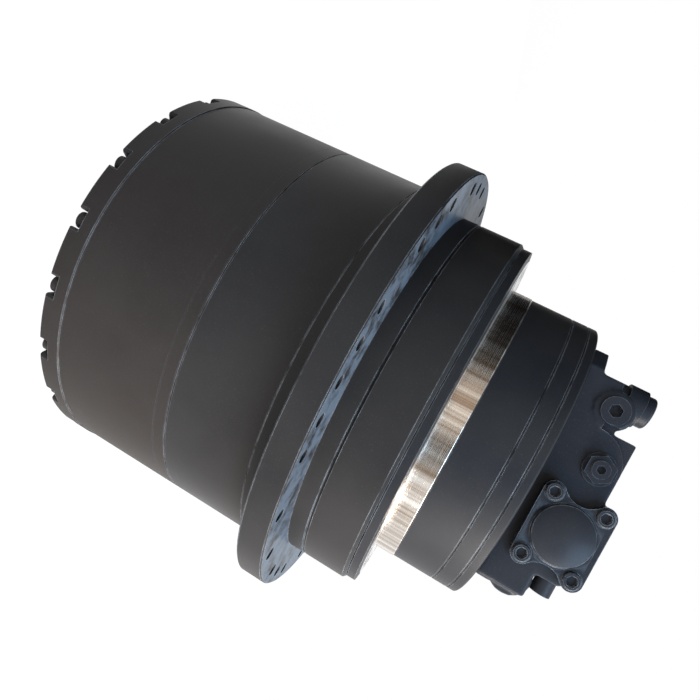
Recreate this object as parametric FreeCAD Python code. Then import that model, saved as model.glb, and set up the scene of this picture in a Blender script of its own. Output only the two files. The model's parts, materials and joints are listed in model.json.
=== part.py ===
import FreeCAD, Part
import math
import os

# Excavator final drive: a hydraulic travel motor that turns a hub through two planetary stages.
# It stands on its end cover. +Z runs along the drive axis towards the motor, and the origin is
# the centre of the cover's outer face. -Y is the side with the domed spool cap. Millimetres.

# ---------------------------------------------------------------- clearances and fits
BODY_GAP = 0.3          # between pieces of different bodies that don't run in each other
RUNNING = 0.05          # radial running clearance of pins, journals and spools
TOOTH_THIN = 0.2        # taken off each flank of a sun or planet tooth
RING_TOOTH_THIN = 0.35  # taken off each flank of a ring tooth, more because its flanks are flat
BOLT_CLEAR = 0.8        # radial clearance of a bolt in its hole
EDGE = 1.5              # chamfer on machined edges
TAP_EXTRA = 4.0         # depth of a tapped hole past the end of its bolt

# ---------------------------------------------------------------- rotating housing
COVER_OVERHANG = 1.1      # how far the cover's rim stands out past the barrel
COVER_T = 27.0
COVER_DISH_R = 168.0
COVER_DISH_DEPTH = 8.0
RING_WALL = 38.78         # from the root of the ring's teeth to the outside of the barrel
RING_GEAR_L = 145.0
REAR_BARREL_L = 124.0
BARREL_FILLET = 12.0
FLANGE_REACH = 39.3       # from the barrel to the flange's rim
FLANGE_T = 31.0
HUB_STEP = 13.0           # from the barrel in to the ring behind the flange
HUB_RING_L = 75.0
HUB_LIP_CHAMFER = 3.6
GROOVE_FROM_FLANGE = 19.0
GROOVE_W = 3.2
GROOVE_DEPTH = 3.0

SPROCKET_HOLE_COUNT = 22
SPROCKET_HOLE_R = 7.4
SPROCKET_HOLE_IN = 17.0   # from the flange's rim to the pitch circle
SPROCKET_PHASE = -86.75
SPARE_HOLE_STEPS = (-4.5, -2.5, -0.5, 0.5, 4.5)
SPARE_HOLE_R = 6.0

COVER_BOLT_COUNT = 20
COVER_BOLT_R = 6.0
COVER_BOLT_IN = 12.8      # from the cover's rim to the pitch circle
COVER_BOLT_HEAD_R = 9.0
COVER_BOLT_HEAD_H = 11.5
COVER_BOLT_HEX = 10.0
COVER_BOLT_GRIP_IN_HUB = 34.0
SEAT_SLOT_W = 20.0
SEAT_DEPTH = 12.0
NOTCH_ROUND = 5.5         # rounding of the rim on each side of a bolt seat
NOTCH_PHASE = -91.0

COVER_PLUG_R = 15.0
COVER_PLUG_PCR = 120.0
COVER_PLUG_COUNT = 3
COVER_PLUG_PHASE = 30.0
COVER_PLUG_HEX = 14.0
PAD_R = 26.0
PAD_SUNK = 5.0
PAD_BOSS_W = 16.0
JOINT_SEAL_W = 3.4
JOINT_SEAL_OUT = 5.58     # from the root of the ring's teeth to the seal

# ---------------------------------------------------------------- gears
MODULE = 6.4
PRESSURE_ANGLE = 25.0
ADDENDUM = 0.8
DEDENDUM = 1.05
RING_TEETH = 61
SUN_1_TEETH = 11
PLANET_1_TEETH = 25
PLANET_COUNT_1 = 3
SUN_2_TEETH = 15
PLANET_2_TEETH = 23
PLANET_COUNT_2 = 4
FACE_1 = 44.0
FACE_2 = 46.0
STAGE_1_PHASE = 90.0
STAGE_2_PHASE = 45.0

WASHER_T = 2.6
WASHER_R = 40.0
PIN_HEAD_T = 5.0
PIN_HEAD_R = 34.0
PIN_1_R = 23.0
PIN_2_R = 26.0
NEEDLE_T = 6.0
CARRIER_1_T = 22.0
CARRIER_2_T = 29.0
CARRIER_RIM = 14.0
SCALLOP_R_RATIO = 0.42       # to the planets' centre distance
SCALLOP_OUT_RATIO = 0.45     # how far a scallop's centre lies past the rim, to its radius
CARRIER_GAP = 3.0
COVER_TO_PINS = 6.0
SUN_2_SEAT_R = 40.0
SUN_SHAFT_R = 22.0
SUN_2_BORE_R = 25.0
CARRIER_2_BORE_R = 44.0
CARRIER_BOLT_COUNT = 8
CARRIER_BOLT_R = 10.0
CARRIER_BOLT_HEAD_R = 15.0
CARRIER_BOLT_HEAD_H = 11.0
CARRIER_BOLT_HEX = 17.0
CARRIER_BOLT_PHASE = 22.5
CARRIER_BOLT_GRIP = 40.0
CARRIER_BOLT_IN = 18.0    # from the spindle's outside to the pitch circle

# ---------------------------------------------------------------- main bearings and face seal
RETAINER_T = 8.0
BEARING_L = 44.0
BEARING_SPACE = 54.0
HUB_WALL = 55.7           # from the barrel's outside in to the bearing bore
BEARING_WALL = 45.0
HUB_SHOULDER = 11.0
ROLLER_COUNT = 28
ROLLER_R = 7.6
ROLLER_TAPER = 0.6
ROLLER_L = 30.0
ROLLER_TILT = 10.0
RACE_GAP = 0.4
CAGE_T = 2.5
CAGE_W = 6.0
SEAL_POCKET_W = 4.0       # round the outside of a seal ring, filled by its toric
SEAL_POCKET_DEPTH = 48.0
SEAL_RING_UP = 8.0
LIP_W = 11.0
LIP_GAP = 1.0
FACE_SEAL_IN = 1.0        # how far a seal ring reaches in past the bearing bore
FACE_SEAL_W = 14.0
FACE_SEAL_L = 13.0
FACE_SEAL_RIM = 5.0
FACE_GAP = 0.3
TORIC_L = 8.0
SEAL_BACK_GAP = 8.0

# ---------------------------------------------------------------- motor casing
MOUNT_GAP = 1.0
MOUNT_STEP = 3.7          # from the ring behind the sprocket flange in to the frame flange
MOUNT_T = 11.0
MOUNT_HOLE_COUNT = 30
MOUNT_HOLE_R = 7.4
MOUNT_HOLE_IN = 0.5       # from half-way across the frame flange in to the pitch circle
MOUNT_PHASE = -94.7
MOUNT_LEDGE = 10.0
SPIGOT_STEP = 1.0
SPIGOT_L = 24.0
CASE_R = 176.0
CASE_L = 80.0
CASE_GROOVES = (10.0, 29.0)
CASE_GROOVE_W = 2.0
CASE_GROOVE_DEPTH = 1.4
NECK_STEP = 17.0
NECK_FILLET = 8.0
SPINDLE_SHOULDER = 13.0
SPINDLE_WALL = 40.0
CHAMBER_R = 112.0
CHAMBER_DEPTH = 168.0
FLOOR_T = 46.0

# ---------------------------------------------------------------- hydraulic motor
SHAFT_R = 24.0
JOURNAL_R = 20.0
REAR_JOURNAL_R = 17.0
REAR_JOURNAL_L = 26.0
SOCKET_R = 30.0
SOCKET_L = 26.0
SOCKET_BELOW_FLOOR = 16.0
SEAL_L = 10.0
SEAL_OUTER_R = 42.0
SHAFT_BEARING_L = 24.0
SHAFT_BEARING_R = 46.0
REAR_BEARING_R = 28.0
BLOCK_R = 84.0
BLOCK_L = 84.0
PISTON_COUNT = 9
PISTON_PCR = 60.0
PISTON_R = 14.0
PISTON_PHASE = 90.0
PISTON_PORT_R = 7.0
PISTON_PORT_L = 12.0
PISTON_NECK_R = 6.3
PISTON_NECK_L = 10.0
PISTON_L = 62.0
PISTON_BALL_R = 9.0
SHOE_R = 13.0
SHOE_T = 8.0
SHOE_PCR = 61.0
CUP_GAP = 2.0
BALL_OVER_SWASH = 12.3
RETAINER_PLATE_T = 4.0
RETAINER_UP = 3.0
RETAINER_PLATE_R = 80.0
SWASH_R = 84.0
SWASH_T = 20.0
SWASH_BORE_R = 38.0
SWASH_TILT = 15.0
SWASH_LIFT = 44.0
PIVOT_BALL_R = 16.0
PIVOT_UP = 10.0
PIVOT_SPREAD = 63.0
SERVO_R = 13.0
SERVO_Y = -62.0
SERVO_L = 22.0
VALVE_PLATE_T = 6.0
KIDNEY_W = 14.0
KIDNEY_LAND = 14.0
BRAKE_DISC_COUNT = 3
BRAKE_DISC_T = 4.0
BRAKE_DISC_R = 103.0
BRAKE_Z_FROM_TOP = 76.0
BRAKE_PISTON_L = 24.0
BRAKE_PISTON_R_IN = 90.0
BRAKE_SPRING_COUNT = 10
BRAKE_SPRING_R = 6.0
BRAKE_SPRING_PCR = 101.0
BRAKE_SPRING_SUNK = 8.0

# ---------------------------------------------------------------- valve block on the motor's end
PLATE_T = 15.0
PLATE_LEFT = -139.0
PLATE_RIGHT = 124.0
BLOCK_FRONT = -126.0
BLOCK_REAR = 92.0
BLOCK_LEFT = -116.0
BLOCK_RIGHT = 94.0
LOW_TIER_TOP = 38.0
TOP_TIER_LEFT = -65.5
TOP_TIER_TOP = 75.0
CORNER_R = 8.0
FRONT_CORNER_R = 37.5     # of the top tier's front face, at its free corner
FRONT_CORNER_DEPTH = 2.0

SPOOL_X = 46.0
SPOOL_UP = 53.0
SPOOL_R = 16.0
SPOOL_L = 150.0
SPOOL_TRAVEL = 9.0
SPOOL_LAND_L = 28.0
SPOOL_STEM_R = 9.0
CAP_T = 10.0
CAP_DOME_R = 30.3
CAP_DOME_RISE = 3.0
CAP_DOME_H = 9.0
CAP_SCREW_DX = 34.6
CAP_SCREW_DZ = 26.4
CAP_LOBE_R = 11.1
CAP_WAIST_X = 57.0        # centre of the hollow between two lobes, from the cap's middle
CAP_SCREW_R = 6.0
CAP_SCREW_HEAD_R = 9.0
CAP_SCREW_HEAD_H = 8.0
CAP_SCREW_SUNK = 5.0
CAP_SCREW_GRIP = 15.0
CAP_SEAT_L = 18.0
CAP_SCREW_HEX = 10.0

RELIEF_X = -28.4
RELIEF_UP = 54.4
RELIEF_BORE_R = 12.0
RELIEF_DEPTH = 58.0
RELIEF_COLLAR_R = 17.0
RELIEF_COLLAR_T = 2.5
RELIEF_NOSE_R = 9.2
RELIEF_SOCKET = 8.0
RELIEF_HEX = 27.0
RELIEF_HEX_T = 8.0

SPEED_X = -87.0
SPEED_UP = 41.0
SPEED_BOSS_R = 20.0
SPEED_BOSS_L = 3.0
SPEED_BORE_R = 9.0
SPEED_PLUG_R = 14.5
SPEED_PLUG_T = 3.0
SPEED_SOCKET_DEPTH = 6.0
SPEED_SPOOL_L = 120.0
SPEED_LAND_L = 30.0
SPEED_STEM_R = 5.4
SPEED_PLUG_HEX = 12.0
SPEED_TRAVEL = 6.0

LUG_RIGHT = 121.0
LUG_TOP = 50.0
LUG_L = 58.0
ROUND_BOSS_X = 107.0
ROUND_BOSS_UP = 30.4
ROUND_BOSS_R = 22.0
ROUND_BOSS_BACK = 6.0
SIDE_FITTING_R = 11.0
SIDE_FITTING_L = 17.0
SIDE_FITTING_UP = 65.0
SIDE_FITTING_Y = -108.0
DRAIN_X = -106.5
DRAIN_Y = -76.0
DRAIN_LUG_R = 18.0
DRAIN_LUG_LOW = 36.0
DRAIN_LUG_TOP = 52.5
DRAIN_COLLAR_R = 20.9
DRAIN_COLLAR_T = 19.3
DRAIN_END_R = 17.7
DRAIN_END_T = 10.9
DRAIN_END_EDGE = 3.0
PORT_X = -26.0
PORT_SPACING = 50.0
PORT_R = 19.0
PORT_DEPTH = 26.0
REAR_BOLT_R = 8.0
REAR_BOLT_HEAD_R = 12.0
REAR_BOLT_HEAD_H = 12.0
REAR_BOLT_GRIP = 34.0
REAR_BOLT_HEX = 14.0
REAR_BOLT_SUNK = 16.0
REAR_BOLTS_LOW = ((-128.0, 34.0), (110.0, 58.0), (28.0, 124.0), (-40.0, 124.0), (-128.0, -34.0))
REAR_BOLTS_TOP = ((-53.0, -110.0), (79.0, -94.5))

# ---------------------------------------------------------------- places that follow from the sizes
V = FreeCAD.Vector
RING_Z = COVER_T
HUB_Z = RING_Z + RING_GEAR_L
FLANGE_Z = HUB_Z + REAR_BARREL_L
HUB_RING_Z = FLANGE_Z + FLANGE_T
HUB_TOP = HUB_RING_Z + HUB_RING_L
MOUNT_Z = HUB_TOP + MOUNT_GAP
PILOT_Z = MOUNT_Z + MOUNT_T
CASE_Z = PILOT_Z + SPIGOT_L
CASE_TOP = CASE_Z + CASE_L

RING_PITCH_R = RING_TEETH * MODULE / 2
RING_TIP_R = RING_PITCH_R - ADDENDUM * MODULE
RING_ROOT_R = RING_PITCH_R + DEDENDUM * MODULE
JOINT_SEAL_R = RING_ROOT_R + JOINT_SEAL_OUT
BARREL_R = RING_ROOT_R + RING_WALL
COVER_R = BARREL_R + COVER_OVERHANG
COVER_BOLT_PCR = COVER_R - COVER_BOLT_IN
FLANGE_R = BARREL_R + FLANGE_REACH
SPROCKET_PCR = FLANGE_R - SPROCKET_HOLE_IN
HUB_R = BARREL_R - HUB_STEP
BEARING_OUTER_R = BARREL_R - HUB_WALL
HUB_SHOULDER_R = BEARING_OUTER_R - HUB_SHOULDER
SPINDLE_R = BEARING_OUTER_R - BEARING_WALL
SPINDLE_BORE_R = SPINDLE_R - SPINDLE_WALL
ROLLER_PCR = (SPINDLE_R + BEARING_OUTER_R) / 2
CARRIER_BOLT_PCR = SPINDLE_R - CARRIER_BOLT_IN
SHOULDER_R = SPINDLE_R + SPINDLE_SHOULDER
NECK_R = SHOULDER_R + NECK_STEP
FACE_SEAL_R_IN = BEARING_OUTER_R - FACE_SEAL_IN
FACE_SEAL_R_OUT = FACE_SEAL_R_IN + FACE_SEAL_W
SEAL_POCKET_R = FACE_SEAL_R_OUT + SEAL_POCKET_W
LIP_R = SEAL_POCKET_R + LIP_W
SPIGOT_R = CASE_R + SPIGOT_STEP
MOUNT_R = HUB_R - MOUNT_STEP
MOUNT_FACE_R = MOUNT_R - MOUNT_LEDGE
MOUNT_PCR = (SPIGOT_R + MOUNT_R) / 2 - MOUNT_HOLE_IN
CENTRES_1 = (SUN_1_TEETH + PLANET_1_TEETH) * MODULE / 2
CENTRES_2 = (SUN_2_TEETH + PLANET_2_TEETH) * MODULE / 2

PINS_1_Z = COVER_T + COVER_TO_PINS
PLANET_1_Z = PINS_1_Z + PIN_HEAD_T + WASHER_T + 2 * RUNNING
CARRIER_1_Z = PLANET_1_Z + FACE_1 + WASHER_T + 2 * RUNNING
CARRIER_1_TOP = CARRIER_1_Z + CARRIER_1_T
PINS_2_Z = CARRIER_1_TOP + CARRIER_GAP
PLANET_2_Z = PINS_2_Z + PIN_HEAD_T + WASHER_T + 2 * RUNNING
CARRIER_2_Z = PLANET_2_Z + FACE_2 + WASHER_T + 2 * RUNNING
CARRIER_2_TOP = CARRIER_2_Z + CARRIER_2_T
SPINDLE_Z = CARRIER_2_TOP + RETAINER_T
LOWER_BEARING_Z = SPINDLE_Z
LOWER_BEARING_TOP = LOWER_BEARING_Z + BEARING_L
UPPER_BEARING_Z = LOWER_BEARING_TOP + BEARING_SPACE
UPPER_BEARING_TOP = UPPER_BEARING_Z + BEARING_L

CHAMBER_Z = CASE_TOP - CHAMBER_DEPTH
FLOOR_Z = CHAMBER_Z - FLOOR_T
SHAFT_BEARING_Z = CHAMBER_Z - SHAFT_BEARING_L
SHAFT_SEAL_Z = SHAFT_BEARING_Z - SEAL_L - 2.0
SOCKET_Z = FLOOR_Z - SOCKET_BELOW_FLOOR
SEAL_FACE_Z = HUB_TOP - SEAL_POCKET_DEPTH + SEAL_RING_UP + FACE_SEAL_L
CASE_POCKET_Z = SEAL_FACE_Z + FACE_GAP + FACE_SEAL_L + SEAL_BACK_GAP
BLOCK_TOP = CASE_TOP - VALVE_PLATE_T - BODY_GAP
BLOCK_Z = BLOCK_TOP - BLOCK_L
SWASH_Z = CHAMBER_Z + SWASH_LIFT
TILT_Z = SWASH_Z + BALL_OVER_SWASH
BRAKE_Z = CASE_TOP - BRAKE_Z_FROM_TOP
SPOOL_Z = CASE_TOP + SPOOL_UP
RELIEF_Z = CASE_TOP + RELIEF_UP
SPEED_Z = CASE_TOP + SPEED_UP
TIER_Z = CASE_TOP + TOP_TIER_TOP


# ---------------------------------------------------------------- shaping helpers
def cylinder(radius, z_low, z_high, x=0.0, y=0.0):
    return Part.makeCylinder(radius, z_high - z_low, V(x, y, z_low))


def tube(outer, inner, z_low, z_high, x=0.0, y=0.0):
    return cylinder(outer, z_low, z_high, x, y).cut(cylinder(inner, z_low, z_high, x, y))


def along_y(radius, y_low, y_high, x, z):
    return Part.makeCylinder(radius, y_high - y_low, V(x, y_low, z), V(0, 1, 0))


def along_x(radius, x_low, x_high, y, z):
    return Part.makeCylinder(radius, x_high - x_low, V(x_low, y, z), V(1, 0, 0))


def box(low, high):
    return Part.makeBox(high[0] - low[0], high[1] - low[1], high[2] - low[2], V(*low))


def turned(profile):
    """Solid of revolution about the drive axis from (radius, z) points."""
    points = [V(radius, 0, z) for radius, z in profile]
    face = Part.Face(Part.makePolygon(points + points[:1]))
    return face.revolve(V(0, 0, 0), V(0, 0, 1), 360)


def hex_prism(across_flats, z_low, z_high, x=0.0, y=0.0):
    reach = across_flats / math.sqrt(3)
    corners = [V(x + reach * math.cos(math.radians(a)), y + reach * math.sin(math.radians(a)), z_low)
               for a in range(0, 360, 60)]
    return Part.Face(Part.makePolygon(corners + corners[:1])).extrude(V(0, 0, z_high - z_low))


def turned_to(shape, degrees, axis=V(0, 0, 1), centre=V(0, 0, 0)):
    copy = shape.copy()
    copy.rotate(centre, axis, degrees)
    return copy


def moved(shape, x, y, z):
    copy = shape.copy()
    copy.translate(V(x, y, z))
    return copy


def around(shape, count, first=0.0):
    """Copies of a shape at even steps round the drive axis."""
    return [turned_to(shape, first + 360.0 * i / count) for i in range(count)]


def polar(radius, degrees):
    return radius * math.cos(math.radians(degrees)), radius * math.sin(math.radians(degrees))


def on_circle(radius, count, first=0.0):
    return [polar(radius, first + 360.0 * i / count) for i in range(count)]


def group(solids):
    return Part.makeCompound(list(solids))


def socket_screw(shank_r, head_r, head_h, grip, hex_size):
    """Cap screw with its head upwards and the head's underside at the origin."""
    screw = cylinder(head_r, 0, head_h).fuse(cylinder(shank_r, -grip, 0))
    return screw.cut(hex_prism(hex_size, head_h * 0.45, head_h)).removeSplitter()


def facing(shape, direction):
    """Turns a piece that points up (+Z) so that it points along -Y or +Y."""
    return turned_to(shape, 90.0 if direction < 0 else -90.0, V(1, 0, 0))


# ---------------------------------------------------------------- gear teeth
def involute(angle):
    return math.tan(angle) - angle


def flank_angle(radius, teeth, thin, inside):
    """Half the angle that a tooth takes up at a radius, on a sun or planet or inside a ring."""
    pitch_r = teeth * MODULE / 2
    alpha = math.radians(PRESSURE_ANGLE)
    base_r = pitch_r * math.cos(alpha)
    here = involute(math.acos(min(1.0, base_r / radius)))
    curve = involute(alpha) - here
    return math.pi / (2 * teeth) - thin / pitch_r + (-curve if inside else curve)


def toothed_face(teeth, radii, centre_degrees, thin, inside=False):
    points = []
    for tooth in range(teeth):
        centre = math.radians(centre_degrees) + 2 * math.pi * tooth / teeth
        rising = [(r, centre - flank_angle(r, teeth, thin, inside)) for r in radii]
        falling = [(r, centre + flank_angle(r, teeth, thin, inside)) for r in reversed(radii)]
        points += [V(r * math.cos(a), r * math.sin(a), 0) for r, a in rising + falling]
    return Part.Face(Part.makePolygon(points + points[:1]))


def spur_gear(teeth, face_width, z_low, centre_degrees, x=0.0, y=0.0):
    pitch_r = teeth * MODULE / 2
    radii = (pitch_r - DEDENDUM * MODULE, pitch_r, pitch_r + ADDENDUM * MODULE)
    face = toothed_face(teeth, radii, centre_degrees, TOOTH_THIN)
    return moved(face.extrude(V(0, 0, face_width)), x, y, z_low)


def planet_phase(angle, teeth):
    """Where a planet at this angle has a tooth centre, so that it meshes with the ring."""
    return angle - (angle * RING_TEETH + 180.0) / teeth


def sun_phase(angle, sun_teeth, planet_teeth):
    planet = planet_phase(angle, planet_teeth)
    return angle - (180.0 - (angle + 180.0 - planet) * planet_teeth) / sun_teeth


# ---------------------------------------------------------------- rotating housing
def bolt_slot():
    """Open seat for a cover bolt, from the bolt's centre out through the rim."""
    half = SEAT_SLOT_W / 2
    seat = cylinder(half, 0, SEAT_DEPTH, COVER_BOLT_PCR)
    seat = seat.fuse(box((COVER_BOLT_PCR, -half, 0), (COVER_R + EDGE, half, SEAT_DEPTH)))
    mouth_x = COVER_R - NOTCH_ROUND
    mouth_y = half + NOTCH_ROUND
    mouth = box((mouth_x, -mouth_y, 0), (COVER_R + EDGE, mouth_y, SEAT_DEPTH))
    for y in (-mouth_y, mouth_y):
        mouth = mouth.cut(cylinder(NOTCH_ROUND, 0, SEAT_DEPTH, mouth_x, y))
    return seat.fuse(mouth)


def cover_plug_places():
    return on_circle(COVER_PLUG_PCR, COVER_PLUG_COUNT, COVER_PLUG_PHASE)


def end_cover():
    body = cylinder(COVER_R, 0, COVER_T)
    dish = cylinder(COVER_DISH_R, COVER_T - COVER_DISH_DEPTH, COVER_T)
    hub = cylinder(PAD_R + PAD_BOSS_W, COVER_T - COVER_DISH_DEPTH, COVER_T)
    body = body.cut(dish).fuse(hub)
    body = body.cut(cylinder(PAD_R, COVER_T - PAD_SUNK, COVER_T))
    bolt_hole = cylinder(COVER_BOLT_R + BOLT_CLEAR, 0, COVER_T, COVER_BOLT_PCR)
    for cutter in around(bolt_slot().fuse(bolt_hole), COVER_BOLT_COUNT, NOTCH_PHASE):
        body = body.cut(cutter)
    for x, y in cover_plug_places():
        body = body.cut(cylinder(COVER_PLUG_R, 0, COVER_T, x, y))
    return body


def cover_bolts():
    grip = COVER_T - SEAT_DEPTH + RING_GEAR_L + COVER_BOLT_GRIP_IN_HUB
    bolt = socket_screw(COVER_BOLT_R, COVER_BOLT_HEAD_R, COVER_BOLT_HEAD_H, grip, COVER_BOLT_HEX)
    bolt = moved(turned_to(bolt, 180, V(1, 0, 0)), COVER_BOLT_PCR, 0, SEAT_DEPTH)
    return group(around(bolt, COVER_BOLT_COUNT, NOTCH_PHASE))


def cover_plugs():
    length = COVER_T - COVER_DISH_DEPTH
    plugs = []
    for x, y in cover_plug_places():
        plug = cylinder(COVER_PLUG_R, EDGE, length, x, y)
        plugs.append(plug.cut(hex_prism(COVER_PLUG_HEX, EDGE, EDGE + 9, x, y)))
    return group(plugs)


def thrust_pad():
    top = PINS_1_Z - BODY_GAP
    return cylinder(PAD_R, COVER_T - PAD_SUNK, COVER_T).fuse(cylinder(PAD_R - 6, COVER_T, top))


def ring_gear():
    body = cylinder(BARREL_R, RING_Z, HUB_Z)
    teeth = toothed_face(RING_TEETH, (RING_ROOT_R, RING_TIP_R), 0.0, RING_TOOTH_THIN, True)
    # the outline of the internal teeth is the shape of the space, so it is cut right through
    body = body.cut(moved(teeth, 0, 0, RING_Z).extrude(V(0, 0, RING_GEAR_L)))
    hole = cylinder(COVER_BOLT_R + BOLT_CLEAR, RING_Z, HUB_Z, COVER_BOLT_PCR)
    body = body.cut(group(around(hole, COVER_BOLT_COUNT, NOTCH_PHASE)))
    for z_low in (RING_Z, HUB_Z - JOINT_SEAL_W):
        groove = tube(JOINT_SEAL_R + JOINT_SEAL_W, JOINT_SEAL_R, z_low, z_low + JOINT_SEAL_W)
        body = body.cut(groove)
    return body


def joint_seals():
    return group(tube(JOINT_SEAL_R + JOINT_SEAL_W, JOINT_SEAL_R, z_low, z_low + JOINT_SEAL_W)
                 for z_low in (RING_Z, HUB_Z - JOINT_SEAL_W))


def hub_housing():
    groove_z = HUB_RING_Z + GROOVE_FROM_FLANGE
    fillet = [(BARREL_R + BARREL_FILLET * (1 - math.cos(math.radians(a))),
               FLANGE_Z - BARREL_FILLET * (1 - math.sin(math.radians(a)))) for a in (0, 30, 60, 90)]
    outer = [(BARREL_R, HUB_Z)] + fillet
    outer += [(FLANGE_R - EDGE, FLANGE_Z), (FLANGE_R, FLANGE_Z + EDGE)]
    outer += [(FLANGE_R, HUB_RING_Z - EDGE), (FLANGE_R - EDGE, HUB_RING_Z)]
    outer += [(HUB_R, HUB_RING_Z), (HUB_R, groove_z), (HUB_R - GROOVE_DEPTH, groove_z)]
    outer += [(HUB_R - GROOVE_DEPTH, groove_z + GROOVE_W), (HUB_R, groove_z + GROOVE_W)]
    outer += [(HUB_R, HUB_TOP - HUB_LIP_CHAMFER), (HUB_R - HUB_LIP_CHAMFER, HUB_TOP)]
    pocket_z = HUB_TOP - SEAL_POCKET_DEPTH
    step_z = SEAL_FACE_Z + LIP_GAP
    inner = [(LIP_R + LIP_GAP, HUB_TOP), (LIP_R + LIP_GAP, step_z), (SEAL_POCKET_R, step_z)]
    inner += [(SEAL_POCKET_R, pocket_z), (BEARING_OUTER_R, pocket_z)]
    inner += [(BEARING_OUTER_R, UPPER_BEARING_Z), (HUB_SHOULDER_R, UPPER_BEARING_Z)]
    inner += [(HUB_SHOULDER_R, LOWER_BEARING_TOP), (BEARING_OUTER_R, LOWER_BEARING_TOP)]
    inner += [(BEARING_OUTER_R, HUB_Z)]
    body = turned(outer + inner)
    hole = cylinder(SPROCKET_HOLE_R, FLANGE_Z, HUB_RING_Z, SPROCKET_PCR)
    body = body.cut(group(around(hole, SPROCKET_HOLE_COUNT, SPROCKET_PHASE)))
    spare = cylinder(SPARE_HOLE_R, FLANGE_Z, HUB_RING_Z, SPROCKET_PCR)
    step = 360.0 / SPROCKET_HOLE_COUNT
    body = body.cut(group(turned_to(spare, SPROCKET_PHASE + step * i) for i in SPARE_HOLE_STEPS))
    tapped = cylinder(COVER_BOLT_R, HUB_Z, HUB_Z + COVER_BOLT_GRIP_IN_HUB + TAP_EXTRA, COVER_BOLT_PCR)
    return body.cut(group(around(tapped, COVER_BOLT_COUNT, NOTCH_PHASE)))


# ---------------------------------------------------------------- main bearings and face seal
def roller_cone(extra, r_scale):
    """Radius of a race at the large and small end of the rollers."""
    half = BEARING_L / 2
    slope = math.tan(math.radians(ROLLER_TILT))
    offset = r_scale * (ROLLER_R + extra)
    return ROLLER_PCR + offset + half * slope, ROLLER_PCR + offset - half * slope


def flip(points, z_low, z_high):
    return [(radius, z_low + z_high - z) for radius, z in reversed(points)]


def outer_race(z_low, large_end_down):
    large, small = roller_cone(RACE_GAP, 1)
    z_high = z_low + BEARING_L
    points = [(large, z_low), (BEARING_OUTER_R, z_low), (BEARING_OUTER_R, z_high), (small, z_high)]
    return turned(points if large_end_down else flip(points, z_low, z_high))


def inner_race(z_low, large_end_down):
    large, small = roller_cone(RACE_GAP, -1)
    z_high = z_low + BEARING_L
    points = [(SPINDLE_R, z_low), (large, z_low), (small, z_high), (SPINDLE_R, z_high)]
    return turned(points if large_end_down else flip(points, z_low, z_high))


def bearing_outer_races():
    return group([outer_race(LOWER_BEARING_Z, True), outer_race(UPPER_BEARING_Z, False)])


def bearing_inner_races():
    return group([inner_race(LOWER_BEARING_Z, True), inner_race(UPPER_BEARING_Z, False)])


def bearing_rollers(z_low, large_end_down):
    side = 1 if large_end_down else -1
    middle = z_low + BEARING_L / 2
    roller = Part.makeCone(ROLLER_R, ROLLER_R - ROLLER_TAPER, ROLLER_L, V(0, 0, -ROLLER_L / 2))
    if not large_end_down:
        roller = turned_to(roller, 180, V(1, 0, 0))
    roller = turned_to(roller, -side * ROLLER_TILT, V(0, 1, 0))
    rollers = around(moved(roller, ROLLER_PCR, 0, middle), ROLLER_COUNT)
    slope = math.tan(math.radians(ROLLER_TILT))
    reach = ROLLER_L / 2 * math.cos(math.radians(ROLLER_TILT)) + CAGE_W / 2 * slope + BODY_GAP
    cages = []
    for end in (-1, 1):
        radius = ROLLER_PCR - side * end * reach * slope
        z_cage = middle + end * (reach + CAGE_T / 2)
        cages.append(tube(radius + CAGE_W / 2, radius - CAGE_W / 2,
                          z_cage - CAGE_T / 2, z_cage + CAGE_T / 2))
    return group(rollers + cages)


def bearing_retainer():
    body = tube(SPINDLE_R + 9, SPINDLE_BORE_R, CARRIER_2_TOP, SPINDLE_Z)
    hole = cylinder(CARRIER_BOLT_R + BOLT_CLEAR, CARRIER_2_TOP, SPINDLE_Z, CARRIER_BOLT_PCR)
    return body.cut(group(around(hole, CARRIER_BOLT_COUNT, CARRIER_BOLT_PHASE)))


def seal_ring(z_low, face_up):
    z_high = z_low + FACE_SEAL_L
    step = (FACE_SEAL_R_OUT - FACE_SEAL_R_IN) / 2
    points = [(FACE_SEAL_R_IN, z_low), (FACE_SEAL_R_IN + step, z_low)]
    rim_z = z_high - FACE_SEAL_RIM
    points += [(FACE_SEAL_R_IN + step, rim_z), (FACE_SEAL_R_OUT, rim_z)]
    points += [(FACE_SEAL_R_OUT, z_high), (FACE_SEAL_R_IN, z_high)]
    return turned(points if face_up else flip(points, z_low, z_high))


def toric(z_low):
    """Rubber ring that carries a metal seal ring in its pocket."""
    inner = (FACE_SEAL_R_IN + FACE_SEAL_R_OUT) / 2
    return tube(SEAL_POCKET_R, inner, z_low, z_low + TORIC_L)


# ---------------------------------------------------------------- planetary stages
def planet(number, count, phase, teeth, face_width, z_low, centres, bore_r):
    angle = phase + 360.0 * number / count
    x, y = polar(centres, angle)
    body = spur_gear(teeth, face_width, z_low, planet_phase(angle, teeth), x, y)
    return body.cut(cylinder(bore_r, z_low, z_low + face_width, x, y))


def planet_first(number):
    bore = PIN_1_R + NEEDLE_T + RUNNING
    return planet(number, PLANET_COUNT_1, STAGE_1_PHASE, PLANET_1_TEETH, FACE_1, PLANET_1_Z, CENTRES_1, bore)


def planet_second(number):
    bore = PIN_2_R + NEEDLE_T + RUNNING
    return planet(number, PLANET_COUNT_2, STAGE_2_PHASE, PLANET_2_TEETH, FACE_2, PLANET_2_Z, CENTRES_2, bore)


def planet_pins(radius, z_low, z_top, places):
    head_top = z_low + PIN_HEAD_T
    return group(cylinder(PIN_HEAD_R, z_low, head_top, x, y).fuse(cylinder(radius, head_top, z_top, x, y))
                 for x, y in places)


def needle_sleeves(pin_r, z_low, face_width, places):
    return group(tube(pin_r + NEEDLE_T, pin_r, z_low, z_low + face_width, x, y) for x, y in places)


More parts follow.
